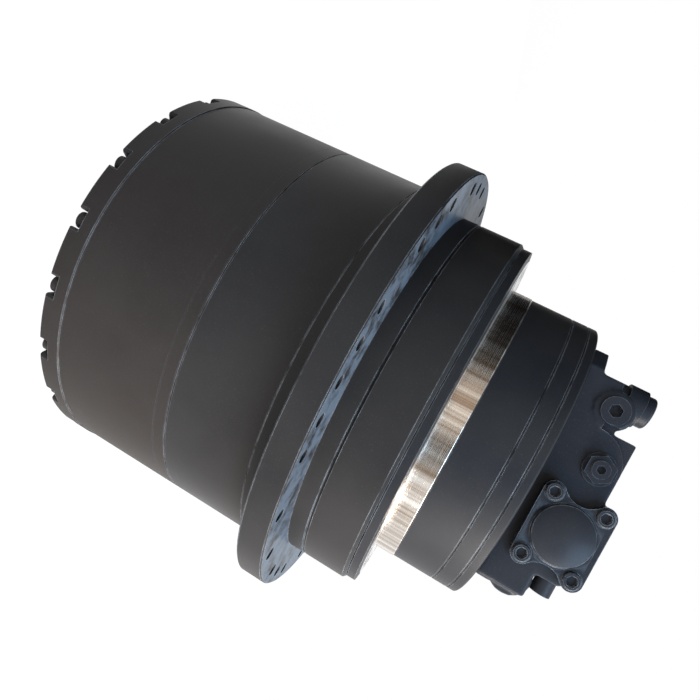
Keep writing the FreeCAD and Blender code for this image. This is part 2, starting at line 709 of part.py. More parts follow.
def thrust_washers(pin_r, z_low, face_width, places):
    washers = []
    for x, y in places:
        for z in (z_low - RUNNING - WASHER_T, z_low + face_width + RUNNING):
            washers.append(tube(WASHER_R, pin_r, z, z + WASHER_T, x, y))
    return group(washers)


def first_places():
    return on_circle(CENTRES_1, PLANET_COUNT_1, STAGE_1_PHASE)


def second_places():
    return on_circle(CENTRES_2, PLANET_COUNT_2, STAGE_2_PHASE)


def carrier_plate(centres, pin_r, count, phase, z_low, z_high, bore_r):
    """Plate with a round lobe at each planet pin and a scallop between each two."""
    rim = centres + pin_r + CARRIER_RIM
    body = tube(rim, bore_r, z_low, z_high)
    scallop_r = centres * SCALLOP_R_RATIO
    scallop = cylinder(scallop_r, z_low, z_high, rim + scallop_r * SCALLOP_OUT_RATIO)
    body = body.cut(group(around(scallop, count, phase + 180.0 / count)))
    return body.cut(group(cylinder(pin_r, z_low, z_high, x, y) for x, y in on_circle(centres, count, phase)))


def carrier_first():
    return carrier_plate(CENTRES_1, PIN_1_R, PLANET_COUNT_1, STAGE_1_PHASE, CARRIER_1_Z, CARRIER_1_TOP,
                         SUN_2_SEAT_R)


def carrier_second():
    body = carrier_plate(CENTRES_2, PIN_2_R, PLANET_COUNT_2, STAGE_2_PHASE, CARRIER_2_Z, CARRIER_2_TOP,
                         CARRIER_2_BORE_R)
    seat_z = CARRIER_2_Z + CARRIER_BOLT_HEAD_H
    for x, y in carrier_bolt_places():
        body = body.cut(cylinder(CARRIER_BOLT_R + BOLT_CLEAR, CARRIER_2_Z, CARRIER_2_TOP, x, y))
        body = body.cut(cylinder(CARRIER_BOLT_HEAD_R + BOLT_CLEAR, CARRIER_2_Z, seat_z, x, y))
    return body


def carrier_bolt_places():
    return on_circle(CARRIER_BOLT_PCR, CARRIER_BOLT_COUNT, CARRIER_BOLT_PHASE)


def carrier_bolts():
    seat_z = CARRIER_2_Z + CARRIER_BOLT_HEAD_H
    grip = CARRIER_2_TOP + RETAINER_T + CARRIER_BOLT_GRIP - seat_z
    bolt = socket_screw(CARRIER_BOLT_R, CARRIER_BOLT_HEAD_R, CARRIER_BOLT_HEAD_H, grip, CARRIER_BOLT_HEX)
    bolt = turned_to(bolt, 180, V(1, 0, 0))
    return group(moved(bolt, x, y, seat_z) for x, y in carrier_bolt_places())


def sun_first():
    teeth = spur_gear(SUN_1_TEETH, FACE_1 + 4, PLANET_1_Z - 2,
                      sun_phase(STAGE_1_PHASE, SUN_1_TEETH, PLANET_1_TEETH))
    return teeth.fuse(cylinder(SUN_SHAFT_R, PINS_1_Z, SOCKET_Z + SOCKET_L - 4))


def sun_second():
    z_teeth = CARRIER_1_TOP + 1
    teeth = spur_gear(SUN_2_TEETH, CARRIER_2_Z - 1 - z_teeth, z_teeth,
                      sun_phase(STAGE_2_PHASE, SUN_2_TEETH, PLANET_2_TEETH))
    body = teeth.fuse(cylinder(SUN_2_SEAT_R, CARRIER_1_Z, z_teeth))
    return body.cut(cylinder(SUN_2_BORE_R, CARRIER_1_Z, CARRIER_2_Z))


# ---------------------------------------------------------------- motor casing
def motor_case():
    grooves = []
    for below_top in CASE_GROOVES:
        z = CASE_TOP - below_top
        depth_r = CASE_R - CASE_GROOVE_DEPTH
        grooves += [(CASE_R, z), (depth_r, z), (depth_r, z - CASE_GROOVE_W), (CASE_R, z - CASE_GROOVE_W)]
    outer = [(CASE_R - EDGE, CASE_TOP), (CASE_R, CASE_TOP - EDGE)] + grooves
    outer += [(CASE_R, CASE_Z), (SPIGOT_R, CASE_Z), (SPIGOT_R, PILOT_Z), (MOUNT_FACE_R, PILOT_Z)]
    outer += [(MOUNT_R, PILOT_Z - EDGE), (MOUNT_R, MOUNT_Z)]
    lip_z = SEAL_FACE_Z + 2 * LIP_GAP
    outer += [(LIP_R, MOUNT_Z), (LIP_R, lip_z), (SEAL_POCKET_R, lip_z), (SEAL_POCKET_R, CASE_POCKET_Z)]
    outer += [(NECK_R, CASE_POCKET_Z), (NECK_R, UPPER_BEARING_TOP + NECK_FILLET)]
    outer += [(SHOULDER_R, UPPER_BEARING_TOP), (SPINDLE_R, UPPER_BEARING_TOP), (SPINDLE_R, SPINDLE_Z)]
    inner = [(SPINDLE_BORE_R, SPINDLE_Z), (SPINDLE_BORE_R, FLOOR_Z), (SOCKET_R + 3, FLOOR_Z)]
    inner += [(SOCKET_R + 3, SHAFT_SEAL_Z), (SEAL_OUTER_R, SHAFT_SEAL_Z)]
    inner += [(SEAL_OUTER_R, SHAFT_BEARING_Z), (SHAFT_BEARING_R, SHAFT_BEARING_Z)]
    inner += [(SHAFT_BEARING_R, CHAMBER_Z), (CHAMBER_R, CHAMBER_Z), (CHAMBER_R, CASE_TOP)]
    body = turned(outer + inner)
    hole = cylinder(MOUNT_HOLE_R, MOUNT_Z, PILOT_Z, MOUNT_PCR)
    body = body.cut(group(around(hole, MOUNT_HOLE_COUNT, MOUNT_PHASE)))
    tapped = cylinder(CARRIER_BOLT_R, SPINDLE_Z, SPINDLE_Z + CARRIER_BOLT_GRIP + TAP_EXTRA,
                      CARRIER_BOLT_PCR)
    body = body.cut(group(around(tapped, CARRIER_BOLT_COUNT, CARRIER_BOLT_PHASE)))
    for x, y in REAR_BOLTS_LOW + REAR_BOLTS_TOP:
        body = body.cut(cylinder(REAR_BOLT_R, CASE_TOP - REAR_BOLT_GRIP - TAP_EXTRA, CASE_TOP, x, y))
    body = body.cut(cylinder(SERVO_R + RUNNING, CHAMBER_Z - SERVO_L, CHAMBER_Z, 0, SERVO_Y))
    for x in (-PIVOT_SPREAD, PIVOT_SPREAD):
        body = body.cut(Part.makeSphere(PIVOT_BALL_R, V(x, 0, CHAMBER_Z + PIVOT_UP)))
    return body


# ---------------------------------------------------------------- hydraulic motor
def motor_shaft():
    rear_z = CASE_TOP + REAR_JOURNAL_L
    body = cylinder(SOCKET_R, SOCKET_Z, SHAFT_SEAL_Z + SEAL_L)
    body = body.fuse(cylinder(JOURNAL_R, SHAFT_SEAL_Z + SEAL_L, CHAMBER_Z))
    body = body.fuse(cylinder(SHAFT_R, CHAMBER_Z, BLOCK_TOP))
    body = body.fuse(cylinder(REAR_JOURNAL_R, BLOCK_TOP, rear_z))
    return body.cut(cylinder(SUN_SHAFT_R, SOCKET_Z, SOCKET_Z + SOCKET_L))


def shaft_bearings():
    front = tube(SHAFT_BEARING_R, JOURNAL_R + RUNNING, SHAFT_BEARING_Z, CHAMBER_Z)
    rear = tube(REAR_BEARING_R, REAR_JOURNAL_R + RUNNING, CASE_TOP + 2, CASE_TOP + REAR_JOURNAL_L)
    return group([front, rear])


def shaft_seal():
    return tube(SEAL_OUTER_R, SOCKET_R + RUNNING, SHAFT_SEAL_Z, SHAFT_SEAL_Z + SEAL_L)


def piston_bores(radius, z_low, z_high):
    return [cylinder(radius, z_low, z_high, x, y) for x, y in on_circle(PISTON_PCR, PISTON_COUNT, PISTON_PHASE)]


def cylinder_block():
    body = tube(BLOCK_R, SHAFT_R, BLOCK_Z, BLOCK_TOP)
    port_z = BLOCK_TOP - PISTON_PORT_L
    body = body.cut(group(piston_bores(PISTON_R, BLOCK_Z, port_z)))
    return body.cut(group(piston_bores(PISTON_PORT_R, port_z, BLOCK_TOP)))


def pistons():
    """Nine pistons, each drawn fully in, where the swash plate is highest."""
    ball_z = TILT_Z + PISTON_PCR * math.sin(math.radians(SWASH_TILT)) + RUNNING
    pieces = []
    rod_z = ball_z + PISTON_NECK_L
    for x, y in on_circle(PISTON_PCR, PISTON_COUNT, PISTON_PHASE):
        rod = cylinder(PISTON_R - RUNNING, rod_z, rod_z + PISTON_L, x, y)
        neck = cylinder(PISTON_NECK_R, ball_z, rod_z, x, y)
        ball = Part.makeSphere(PISTON_BALL_R, V(x, y, ball_z))
        pieces.append(rod.fuse(neck).fuse(ball))
    return group(pieces)


def tilted(shape):
    return turned_to(shape, SWASH_TILT, V(1, 0, 0), V(0, 0, TILT_Z))


def swash_underside(y):
    """Height of the swash plate's lower face over the chamber's centre line."""
    tilt = math.radians(SWASH_TILT)
    below = TILT_Z - SWASH_Z + SWASH_T
    return TILT_Z + y * math.tan(tilt) - below / math.cos(tilt)


def shoe_retainer():
    """Nine slipper shoes held by one plate, flat on the tilted face of the swash plate."""
    low = SWASH_Z + BODY_GAP
    plate_z = low + RETAINER_UP
    plate = tube(RETAINER_PLATE_R, SWASH_BORE_R, plate_z, plate_z + RETAINER_PLATE_T)
    cup_r = PISTON_BALL_R + CUP_GAP
    for x, y in on_circle(SHOE_PCR, PISTON_COUNT, PISTON_PHASE):
        plate = plate.fuse(cylinder(SHOE_R, low, low + SHOE_T, x, y))
    for x, y in on_circle(SHOE_PCR, PISTON_COUNT, PISTON_PHASE):
        plate = plate.cut(Part.makeSphere(cup_r, V(x, y, TILT_Z)))
    return tilted(plate)


def swash_plate():
    body = tube(SWASH_R, SWASH_BORE_R, SWASH_Z - SWASH_T, SWASH_Z)
    body = tilted(body)
    for x in (-PIVOT_SPREAD, PIVOT_SPREAD):
        body = body.cut(Part.makeSphere(PIVOT_BALL_R + RUNNING, V(x, 0, CHAMBER_Z + PIVOT_UP)))
    return body


def swash_pivots():
    """Two hardened balls on the chamber floor that the swash plate rocks on."""
    return group(Part.makeSphere(PIVOT_BALL_R, V(x, 0, CHAMBER_Z + PIVOT_UP))
                 for x in (-PIVOT_SPREAD, PIVOT_SPREAD))


def servo_piston():
    dome_z = swash_underside(SERVO_Y) - (SERVO_R + BODY_GAP) / math.cos(math.radians(SWASH_TILT))
    return cylinder(SERVO_R, CHAMBER_Z - SERVO_L, dome_z, 0, SERVO_Y).fuse(
        Part.makeSphere(SERVO_R, V(0, SERVO_Y, dome_z)))


def valve_plate():
    """Plate that feeds the cylinder block through two kidney-shaped slots."""
    low = CASE_TOP - VALVE_PLATE_T
    body = tube(BLOCK_R - 6, REAR_JOURNAL_R + 4, low, CASE_TOP)
    ring = tube(PISTON_PCR + KIDNEY_W / 2, PISTON_PCR - KIDNEY_W / 2, low, CASE_TOP)
    land = box((-KIDNEY_LAND, -BLOCK_R, low), (KIDNEY_LAND, BLOCK_R, CASE_TOP))
    return body.cut(ring.cut(land))


def brake_disc_heights():
    pitch = 2 * (BRAKE_DISC_T + BODY_GAP)
    return [BRAKE_Z + pitch * i for i in range(BRAKE_DISC_COUNT)]


def brake_discs():
    return group(tube(BRAKE_DISC_R, BLOCK_R, z, z + BRAKE_DISC_T) for z in brake_disc_heights())


def brake_plates():
    step = BRAKE_DISC_T + BODY_GAP
    heights = [BRAKE_Z - step] + [z + step for z in brake_disc_heights()]
    return group(tube(CHAMBER_R, BLOCK_R + 3, z, z + BRAKE_DISC_T) for z in heights)


def brake_piston_z():
    return brake_disc_heights()[-1] + 2 * (BRAKE_DISC_T + BODY_GAP)


def brake_piston():
    z_low = brake_piston_z()
    body = tube(CHAMBER_R - RUNNING, BRAKE_PISTON_R_IN, z_low, z_low + BRAKE_PISTON_L)
    pocket = cylinder(BRAKE_SPRING_R + 1, z_low + BRAKE_PISTON_L - BRAKE_SPRING_SUNK,
                      z_low + BRAKE_PISTON_L, BRAKE_SPRING_PCR)
    return body.cut(group(around(pocket, BRAKE_SPRING_COUNT)))


def brake_springs():
    z_low = brake_piston_z() + BRAKE_PISTON_L - BRAKE_SPRING_SUNK
    spring = tube(BRAKE_SPRING_R, BRAKE_SPRING_R - 2, z_low, CASE_TOP, BRAKE_SPRING_PCR)
    return group(around(spring, BRAKE_SPRING_COUNT))


# ---------------------------------------------------------------- valve block
def block_corners(shape, z_low, z_high):
    edges = [e for e in shape.Edges
             if abs(e.BoundBox.ZLength - (z_high - z_low)) < 0.01 and e.BoundBox.XLength < 0.01]
    return shape.makeFillet(CORNER_R, edges)


def front_corner():
    """What is cut away where the top tier's front face has its large round corner."""
    back_y = BLOCK_FRONT + FRONT_CORNER_DEPTH
    middle_x = TOP_TIER_LEFT + FRONT_CORNER_R
    middle_z = TIER_Z - FRONT_CORNER_R
    corner = box((TOP_TIER_LEFT - EDGE, BLOCK_FRONT - EDGE, middle_z), (middle_x, back_y, TIER_Z + EDGE))
    return corner.cut(along_y(FRONT_CORNER_R, BLOCK_FRONT - EDGE, back_y, middle_x, middle_z))


def rear_cover():
    plate = cylinder(CASE_R - EDGE, CASE_TOP, CASE_TOP + PLATE_T)
    plate = plate.common(box((PLATE_LEFT, BLOCK_FRONT, CASE_TOP),
                             (PLATE_RIGHT, CASE_R, CASE_TOP + PLATE_T)))
    low_z = CASE_TOP + LOW_TIER_TOP
    low = block_corners(box((BLOCK_LEFT, BLOCK_FRONT, CASE_TOP), (BLOCK_RIGHT, BLOCK_REAR, low_z)),
                        CASE_TOP, low_z)
    top = block_corners(box((TOP_TIER_LEFT, BLOCK_FRONT, CASE_TOP), (BLOCK_RIGHT, BLOCK_REAR, TIER_Z)),
                        CASE_TOP, TIER_Z)
    body = plate.fuse(low).fuse(top)
    body = body.cut(front_corner())
    body = body.fuse(box((BLOCK_RIGHT - CORNER_R, BLOCK_FRONT, CASE_TOP + PLATE_T),
                         (LUG_RIGHT, BLOCK_FRONT + LUG_L, CASE_TOP + LUG_TOP)))
    body = body.fuse(along_y(ROUND_BOSS_R, BLOCK_FRONT + ROUND_BOSS_BACK, BLOCK_FRONT + LUG_L,
                             ROUND_BOSS_X, CASE_TOP + ROUND_BOSS_UP))
    body = body.fuse(along_y(SPEED_BOSS_R, BLOCK_FRONT - SPEED_BOSS_L, BLOCK_REAR + SPEED_BOSS_L,
                             SPEED_X, SPEED_Z))
    for y, end in ((BLOCK_FRONT, 1), (BLOCK_REAR, -1)):
        seat = facing(cap_outline().extrude(V(0, 0, CAP_SEAT_L)), end)
        body = body.fuse(moved(seat, SPOOL_X, y, SPOOL_Z))
    lug_top = CASE_TOP + DRAIN_LUG_TOP
    body = body.fuse(cylinder(DRAIN_LUG_R, CASE_TOP + DRAIN_LUG_LOW, lug_top, DRAIN_X, DRAIN_Y))
    body = body.cut(cylinder(DRAIN_COLLAR_R, lug_top, TIER_Z, DRAIN_X, DRAIN_Y))
    body = body.cut(cylinder(REAR_BEARING_R, CASE_TOP, CASE_TOP + REAR_JOURNAL_L + 3))
    body = body.cut(along_y(SPOOL_R + RUNNING, BLOCK_FRONT, BLOCK_REAR, SPOOL_X, SPOOL_Z))
    body = body.cut(along_y(SPEED_BORE_R + RUNNING, BLOCK_FRONT - SPEED_BOSS_L,
                            BLOCK_REAR + SPEED_BOSS_L, SPEED_X, SPEED_Z))
    for low_y, high_y in relief_spans():
        body = body.cut(along_y(RELIEF_BORE_R, low_y, high_y, RELIEF_X, RELIEF_Z))
    for x, y in port_places():
        body = body.cut(cylinder(PORT_R, TIER_Z - PORT_DEPTH, TIER_Z, x, y))
    for x, y, z in cap_screw_places():
        end = -1 if y < 0 else 1
        inner = y - end * (CAP_SCREW_GRIP + 2)
        body = body.cut(along_y(CAP_SCREW_R, min(y, inner), max(y, inner), x, z))
    for x, y in REAR_BOLTS_LOW:
        body = body.cut(cylinder(REAR_BOLT_R + BOLT_CLEAR, CASE_TOP, CASE_TOP + PLATE_T, x, y))
        body = body.cut(cylinder(REAR_BOLT_HEAD_R + 1, CASE_TOP + PLATE_T, TIER_Z, x, y))
    for x, y in REAR_BOLTS_TOP:
        body = body.cut(cylinder(REAR_BOLT_R + BOLT_CLEAR, CASE_TOP, TIER_Z, x, y))
        body = body.cut(cylinder(REAR_BOLT_HEAD_R + 1, TIER_Z - REAR_BOLT_SUNK, TIER_Z, x, y))
    return body.removeSplitter()


def relief_spans():
    return (BLOCK_FRONT, BLOCK_FRONT + RELIEF_DEPTH), (BLOCK_REAR - RELIEF_DEPTH, BLOCK_REAR)


def port_places():
    middle = (BLOCK_FRONT + BLOCK_REAR) / 2
    return [(PORT_X, middle - PORT_SPACING / 2), (PORT_X, middle + PORT_SPACING / 2)]


def cap_screw_places():
    return [(SPOOL_X + sx * CAP_SCREW_DX, y, SPOOL_Z + sz * CAP_SCREW_DZ)
            for y in (BLOCK_FRONT, BLOCK_REAR) for sx in (-1, 1) for sz in (-1, 1)]


def rear_bolt(grip):
    return socket_screw(REAR_BOLT_R, REAR_BOLT_HEAD_R, REAR_BOLT_HEAD_H, grip, REAR_BOLT_HEX)


def rear_cover_bolts():
    bolts = []
    for x, y in REAR_BOLTS_LOW:
        bolts.append(moved(rear_bolt(PLATE_T + REAR_BOLT_GRIP), x, y, CASE_TOP + PLATE_T))
    seat = TIER_Z - REAR_BOLT_SUNK
    for x, y in REAR_BOLTS_TOP:
        bolts.append(moved(rear_bolt(seat - CASE_TOP + REAR_BOLT_GRIP), x, y, seat))
    return group(bolts)


def cap_outline():
    """Four screw lobes with straight edges along X and a hollow waist at each end."""
    away_x = CAP_WAIST_X - CAP_SCREW_DX
    away = math.hypot(away_x, CAP_SCREW_DZ)
    waist_r = away - CAP_LOBE_R
    touch_x = CAP_SCREW_DX + CAP_LOBE_R * away_x / away
    touch_z = CAP_SCREW_DZ - CAP_LOBE_R * CAP_SCREW_DZ / away
    top_z = CAP_SCREW_DZ + CAP_LOBE_R
    lobe_x = CAP_SCREW_DX + CAP_LOBE_R * math.cos(math.radians(45))
    lobe_z = CAP_SCREW_DZ + CAP_LOBE_R * math.sin(math.radians(45))
    edges = []
    for side in (1, -1):
        screw_x = side * CAP_SCREW_DX
        touch = V(side * touch_x, side * touch_z, 0)
        over = V(side * touch_x, -side * touch_z, 0)
        waist = V(side * (CAP_WAIST_X - waist_r), 0, 0)
        top = V(screw_x, side * top_z, 0)
        under = V(screw_x, -side * top_z, 0)
        edges.append(Part.makeLine(V(-screw_x, side * top_z, 0), top))
        edges.append(Part.Arc(top, V(side * lobe_x, side * lobe_z, 0), touch).toShape())
        edges.append(Part.Arc(touch, waist, over).toShape())
        edges.append(Part.Arc(over, V(side * lobe_x, -side * lobe_z, 0), under).toShape())
    return Part.Face(Part.Wire(edges))


def spool_cap():
    """Domed end cap, built pointing up with its joint face at the origin."""
    crown_z = CAP_T + CAP_DOME_RISE
    crown_h = CAP_DOME_H - CAP_DOME_RISE
    crown_r = (CAP_DOME_R ** 2 + crown_h ** 2) / (2 * crown_h)
    crown = Part.makeSphere(crown_r, V(0, 0, crown_z + crown_h - crown_r))
    crown = crown.common(cylinder(CAP_DOME_R, crown_z, crown_z + crown_h + 1))
    body = cap_outline().extrude(V(0, 0, CAP_T))
    body = body.fuse(cylinder(CAP_DOME_R, CAP_T, crown_z)).fuse(crown)
    for sx in (-1, 1):
        for sz in (-1, 1):
            x, z = sx * CAP_SCREW_DX, sz * CAP_SCREW_DZ
            body = body.cut(cylinder(CAP_SCREW_R, 0, CAP_T, x, z))
            body = body.cut(cylinder(CAP_SCREW_HEAD_R + BODY_GAP, CAP_T - CAP_SCREW_SUNK, crown_z, x, z))
    body = body.cut(cylinder(SPOOL_R + RUNNING, 0, SPOOL_TRAVEL + 2))
    return body.removeSplitter()


def spool_cap_front():
    return moved(facing(spool_cap(), -1), SPOOL_X, BLOCK_FRONT, SPOOL_Z)


def spool_cap_rear():
    return moved(facing(spool_cap(), 1), SPOOL_X, BLOCK_REAR, SPOOL_Z)


def cap_screws():
    seat = CAP_T - CAP_SCREW_SUNK
    grip = seat + CAP_SCREW_GRIP
    screw = socket_screw(CAP_SCREW_R, CAP_SCREW_HEAD_R, CAP_SCREW_HEAD_H, grip, CAP_SCREW_HEX)
    screws = []
    for x, y, z in cap_screw_places():
        end = -1 if y < 0 else 1
        screws.append(moved(facing(screw, end), x, y + end * seat, z))
    return group(screws)


def spool_middle():
    return (BLOCK_FRONT + BLOCK_REAR) / 2


def counterbalance_spool():
    middle = spool_middle()
    half = SPOOL_L / 2
    body = along_y(SPOOL_STEM_R, middle - half, middle + half, SPOOL_X, SPOOL_Z)
    for y in (middle - half, middle - SPOOL_LAND_L / 2, middle + half - SPOOL_LAND_L):
        body = body.fuse(along_y(SPOOL_R, y, y + SPOOL_LAND_L, SPOOL_X, SPOOL_Z))
    return body


def spool_springs():
    middle = spool_middle()
    springs = []
    for low, high in ((BLOCK_FRONT - SPOOL_TRAVEL - 2, middle - SPOOL_L / 2),
                      (middle + SPOOL_L / 2, BLOCK_REAR + SPOOL_TRAVEL + 2)):
        coil = along_y(SPOOL_R - 2, low, high, SPOOL_X, SPOOL_Z)
        springs.append(coil.cut(along_y(SPOOL_R - 5, low, high, SPOOL_X, SPOOL_Z)))
    return group(springs)


def relief_valves():
    """Cartridge with a round collar, a hexagon and a socket for the setting screw."""
    cartridge = cylinder(RELIEF_BORE_R, -(RELIEF_DEPTH - 4), 0)
    cartridge = cartridge.fuse(cylinder(RELIEF_COLLAR_R, 0, RELIEF_COLLAR_T))
    cartridge = cartridge.fuse(hex_prism(RELIEF_HEX, RELIEF_COLLAR_T, RELIEF_HEX_T))
    nose_z = RELIEF_HEX_T + RELIEF_COLLAR_T
    cartridge = cartridge.fuse(cylinder(RELIEF_NOSE_R, RELIEF_HEX_T, nose_z))
    cartridge = cartridge.cut(hex_prism(RELIEF_SOCKET, RELIEF_HEX_T - 2, nose_z))
    front = moved(facing(cartridge, -1), RELIEF_X, BLOCK_FRONT, RELIEF_Z)
    rear = moved(facing(cartridge, 1), RELIEF_X, BLOCK_REAR, RELIEF_Z)
    return group([front, rear])


def speed_spool():
    middle = spool_middle()
    half = SPEED_SPOOL_L / 2
    body = along_y(SPEED_STEM_R, middle - half, middle + half, SPEED_X, SPEED_Z)
    for y in (middle - half, middle + half - SPEED_LAND_L):
        body = body.fuse(along_y(SPEED_BORE_R, y, y + SPEED_LAND_L, SPEED_X, SPEED_Z))
    return body


def speed_plugs():
    depth = (BLOCK_REAR - BLOCK_FRONT - SPEED_SPOOL_L) / 2 + SPEED_BOSS_L - SPEED_TRAVEL - 2
    plug = cylinder(SPEED_PLUG_R, 0, SPEED_PLUG_T).fuse(cylinder(SPEED_BORE_R + RUNNING, -depth, 0))
    plug = plug.cut(hex_prism(SPEED_PLUG_HEX, SPEED_PLUG_T - SPEED_SOCKET_DEPTH, SPEED_PLUG_T))
    front = moved(facing(plug, -1), SPEED_X, BLOCK_FRONT - SPEED_BOSS_L, SPEED_Z)
    rear = moved(facing(plug, 1), SPEED_X, BLOCK_REAR + SPEED_BOSS_L, SPEED_Z)
    return group([front, rear])


def drain_union():
    z = CASE_TOP + DRAIN_LUG_TOP
    shoulder = z + DRAIN_COLLAR_T
    top = shoulder + DRAIN_END_T
    end = cylinder(DRAIN_END_R, shoulder, top, DRAIN_X, DRAIN_Y)
    end = end.makeFillet(DRAIN_END_EDGE, [e for e in end.Edges if e.BoundBox.ZMin > top - 0.01])
    return cylinder(DRAIN_COLLAR_R, z, shoulder, DRAIN_X, DRAIN_Y).fuse(end)


def port_fittings():
    """The case drain union on its lug and the plug in the block's side."""
    side = along_x(SIDE_FITTING_R, BLOCK_RIGHT, BLOCK_RIGHT + SIDE_FITTING_L, SIDE_FITTING_Y,
                   CASE_TOP + SIDE_FITTING_UP)
    return group([drain_union(), side])


# ---------------------------------------------------------------- every node of the assembly
NODES = {
    "end_cover": end_cover,
    "cover_bolts": cover_bolts,
    "cover_plugs": cover_plugs,
    "thrust_pad": thrust_pad,
    "ring_gear": ring_gear,
    "joint_seals": joint_seals,
    "hub_housing": hub_housing,
    "bearing_outer_races": bearing_outer_races,
    "face_seal_hub": lambda: seal_ring(SEAL_FACE_Z - FACE_SEAL_L, True),
    "toric_hub": lambda: toric(SEAL_FACE_Z - FACE_SEAL_L),
    "bearing_rollers_lower": lambda: bearing_rollers(LOWER_BEARING_Z, True),
    "bearing_rollers_upper": lambda: bearing_rollers(UPPER_BEARING_Z, False),
    "bearing_inner_races": bearing_inner_races,
    "bearing_retainer": bearing_retainer,
    "face_seal_case": lambda: seal_ring(SEAL_FACE_Z + FACE_GAP, False),
    "toric_case": lambda: toric(SEAL_FACE_Z + FACE_GAP + FACE_SEAL_L - TORIC_L),
    "sun_first": sun_first,
    "planet_first_1": lambda: planet_first(0),
    "planet_first_2": lambda: planet_first(1),
    "planet_first_3": lambda: planet_first(2),
    "planet_pins_first": lambda: planet_pins(PIN_1_R, PINS_1_Z, CARRIER_1_TOP, first_places()),
    "needles_first": lambda: needle_sleeves(PIN_1_R, PLANET_1_Z, FACE_1, first_places()),
    "washers_first": lambda: thrust_washers(PIN_1_R, PLANET_1_Z, FACE_1, first_places()),
    "carrier_first": carrier_first,
    "sun_second": sun_second,
    "planet_second_1": lambda: planet_second(0),
    "planet_second_2": lambda: planet_second(1),
    "planet_second_3": lambda: planet_second(2),
    "planet_second_4": lambda: planet_second(3),
    "planet_pins_second": lambda: planet_pins(PIN_2_R, PINS_2_Z, CARRIER_2_TOP, second_places()),
    "needles_second": lambda: needle_sleeves(PIN_2_R, PLANET_2_Z, FACE_2, second_places()),
    "washers_second": lambda: thrust_washers(PIN_2_R, PLANET_2_Z, FACE_2, second_places()),
    "carrier_second": carrier_second,
    "carrier_bolts": carrier_bolts,
    "motor_case": motor_case,
    "motor_shaft": motor_shaft,
    "shaft_bearings": shaft_bearings,
    "shaft_seal": shaft_seal,
    "cylinder_block": cylinder_block,
    "pistons": pistons,
    "shoe_retainer": shoe_retainer,
    "swash_plate": swash_plate,
    "swash_pivots": swash_pivots,
    "servo_piston": servo_piston,
    "valve_plate": valve_plate,
    "brake_discs": brake_discs,
    "brake_plates": brake_plates,
    "brake_piston": brake_piston,
    "brake_springs": brake_springs,
    "rear_cover": rear_cover,
    "rear_cover_bolts": rear_cover_bolts,
    "spool_cap_front": spool_cap_front,
    "spool_cap_rear": spool_cap_rear,
    "cap_screws": cap_screws,
    "counterbalance_spool": counterbalance_spool,
    "spool_springs": spool_springs,
    "relief_valves": relief_valves,
    "speed_spool": speed_spool,
    "speed_plugs": speed_plugs,
    "port_fittings": port_fittings,
}

os.makedirs("parts", exist_ok=True)
for name, build in NODES.items():
    build().exportStep("parts/" + name + ".step")
print(len(NODES), "nodes")
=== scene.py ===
import json
import math

import bpy
from mathutils import Matrix, Vector


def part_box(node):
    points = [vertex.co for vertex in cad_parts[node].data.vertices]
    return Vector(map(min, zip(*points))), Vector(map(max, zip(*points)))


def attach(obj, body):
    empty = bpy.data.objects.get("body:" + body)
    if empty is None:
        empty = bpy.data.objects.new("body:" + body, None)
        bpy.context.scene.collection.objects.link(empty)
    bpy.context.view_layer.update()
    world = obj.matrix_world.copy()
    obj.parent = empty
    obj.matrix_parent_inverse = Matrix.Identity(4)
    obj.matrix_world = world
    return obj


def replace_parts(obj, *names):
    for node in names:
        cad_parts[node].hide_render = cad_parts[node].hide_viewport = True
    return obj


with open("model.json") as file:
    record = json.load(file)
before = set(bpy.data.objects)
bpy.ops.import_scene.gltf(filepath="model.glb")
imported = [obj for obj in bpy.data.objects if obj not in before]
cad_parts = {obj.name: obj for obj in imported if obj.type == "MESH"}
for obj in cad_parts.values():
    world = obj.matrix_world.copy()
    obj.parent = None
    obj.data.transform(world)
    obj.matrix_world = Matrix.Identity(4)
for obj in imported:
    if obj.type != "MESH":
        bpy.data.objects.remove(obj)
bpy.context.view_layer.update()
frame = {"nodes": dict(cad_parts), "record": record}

# Excavator final drive. It stands on its end cover, with the drive axis along +Z and the motor on
# top. Sizes below are millimetres unless a name says otherwise; MM turns them into metres.
MM = 0.001
SIDES = 256             # sides of a large turned piece
SMALL_SIDES = 64        # sides of a bolt head, a boss or a plug
AXIS = 0.01             # radius of the ring that closes to a point on the axis of a turned piece


def height_of(node, end):
    """Lowest (0) or highest (1) level of a CAD node, in millimetres."""
    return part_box(node)[end].z / MM


def reach_of(node):
    """Largest distance of a CAD node from the drive axis along +X, in millimetres."""
    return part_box(node)[1].x / MM


# ---------------------------------------------------------------- sizes, from the frame where it has them
COVER_TOP = height_of("end_cover", 1)
COVER_R = reach_of("end_cover")
RING_TOP = height_of("ring_gear", 1)
BARREL_R = reach_of("ring_gear")
HUB_TOP = height_of("hub_housing", 1)
FLANGE_R = reach_of("hub_housing")
CASE_TOP = height_of("motor_case", 1)
BLOCK_TOP = CASE_TOP + 75.0

SEAM_CHAMFER = 1.2       # at the joints of the barrel, where the paint line shows
STEP_LINE_Z = 157.0      # turned line round the ring gear
STEP_LINE_W = 1.2
STEP_LINE_DEPTH = 0.5
FLANGE_LOW = 296.0
FLANGE_TOP = 327.0
HUB_R = BARREL_R - 13.0
GROOVE_LOW = FLANGE_TOP + 19.0
GROOVE_W = 3.2
GROOVE_DEPTH = 3.0
BARREL_FILLET = 9.0      # between the barrel and the sprocket flange
HUB_BORE_R = 185.0
HUB_CHAMFER = 3.6
POCKET_STEP_R = 202.0    # of the seal pocket in the hub's end
POCKET_STEP_LOW = HUB_TOP - 26.0
POCKET_LOW = HUB_TOP - 48.0
SPROCKET_HOLES = 22
SPROCKET_HOLE_R = 7.4
SPROCKET_CIRCLE_R = 263.0
SPROCKET_PHASE = -86.75
SPARE_HOLE_STEPS = (-4.5, -2.5, -0.5, 0.5, 4.5)

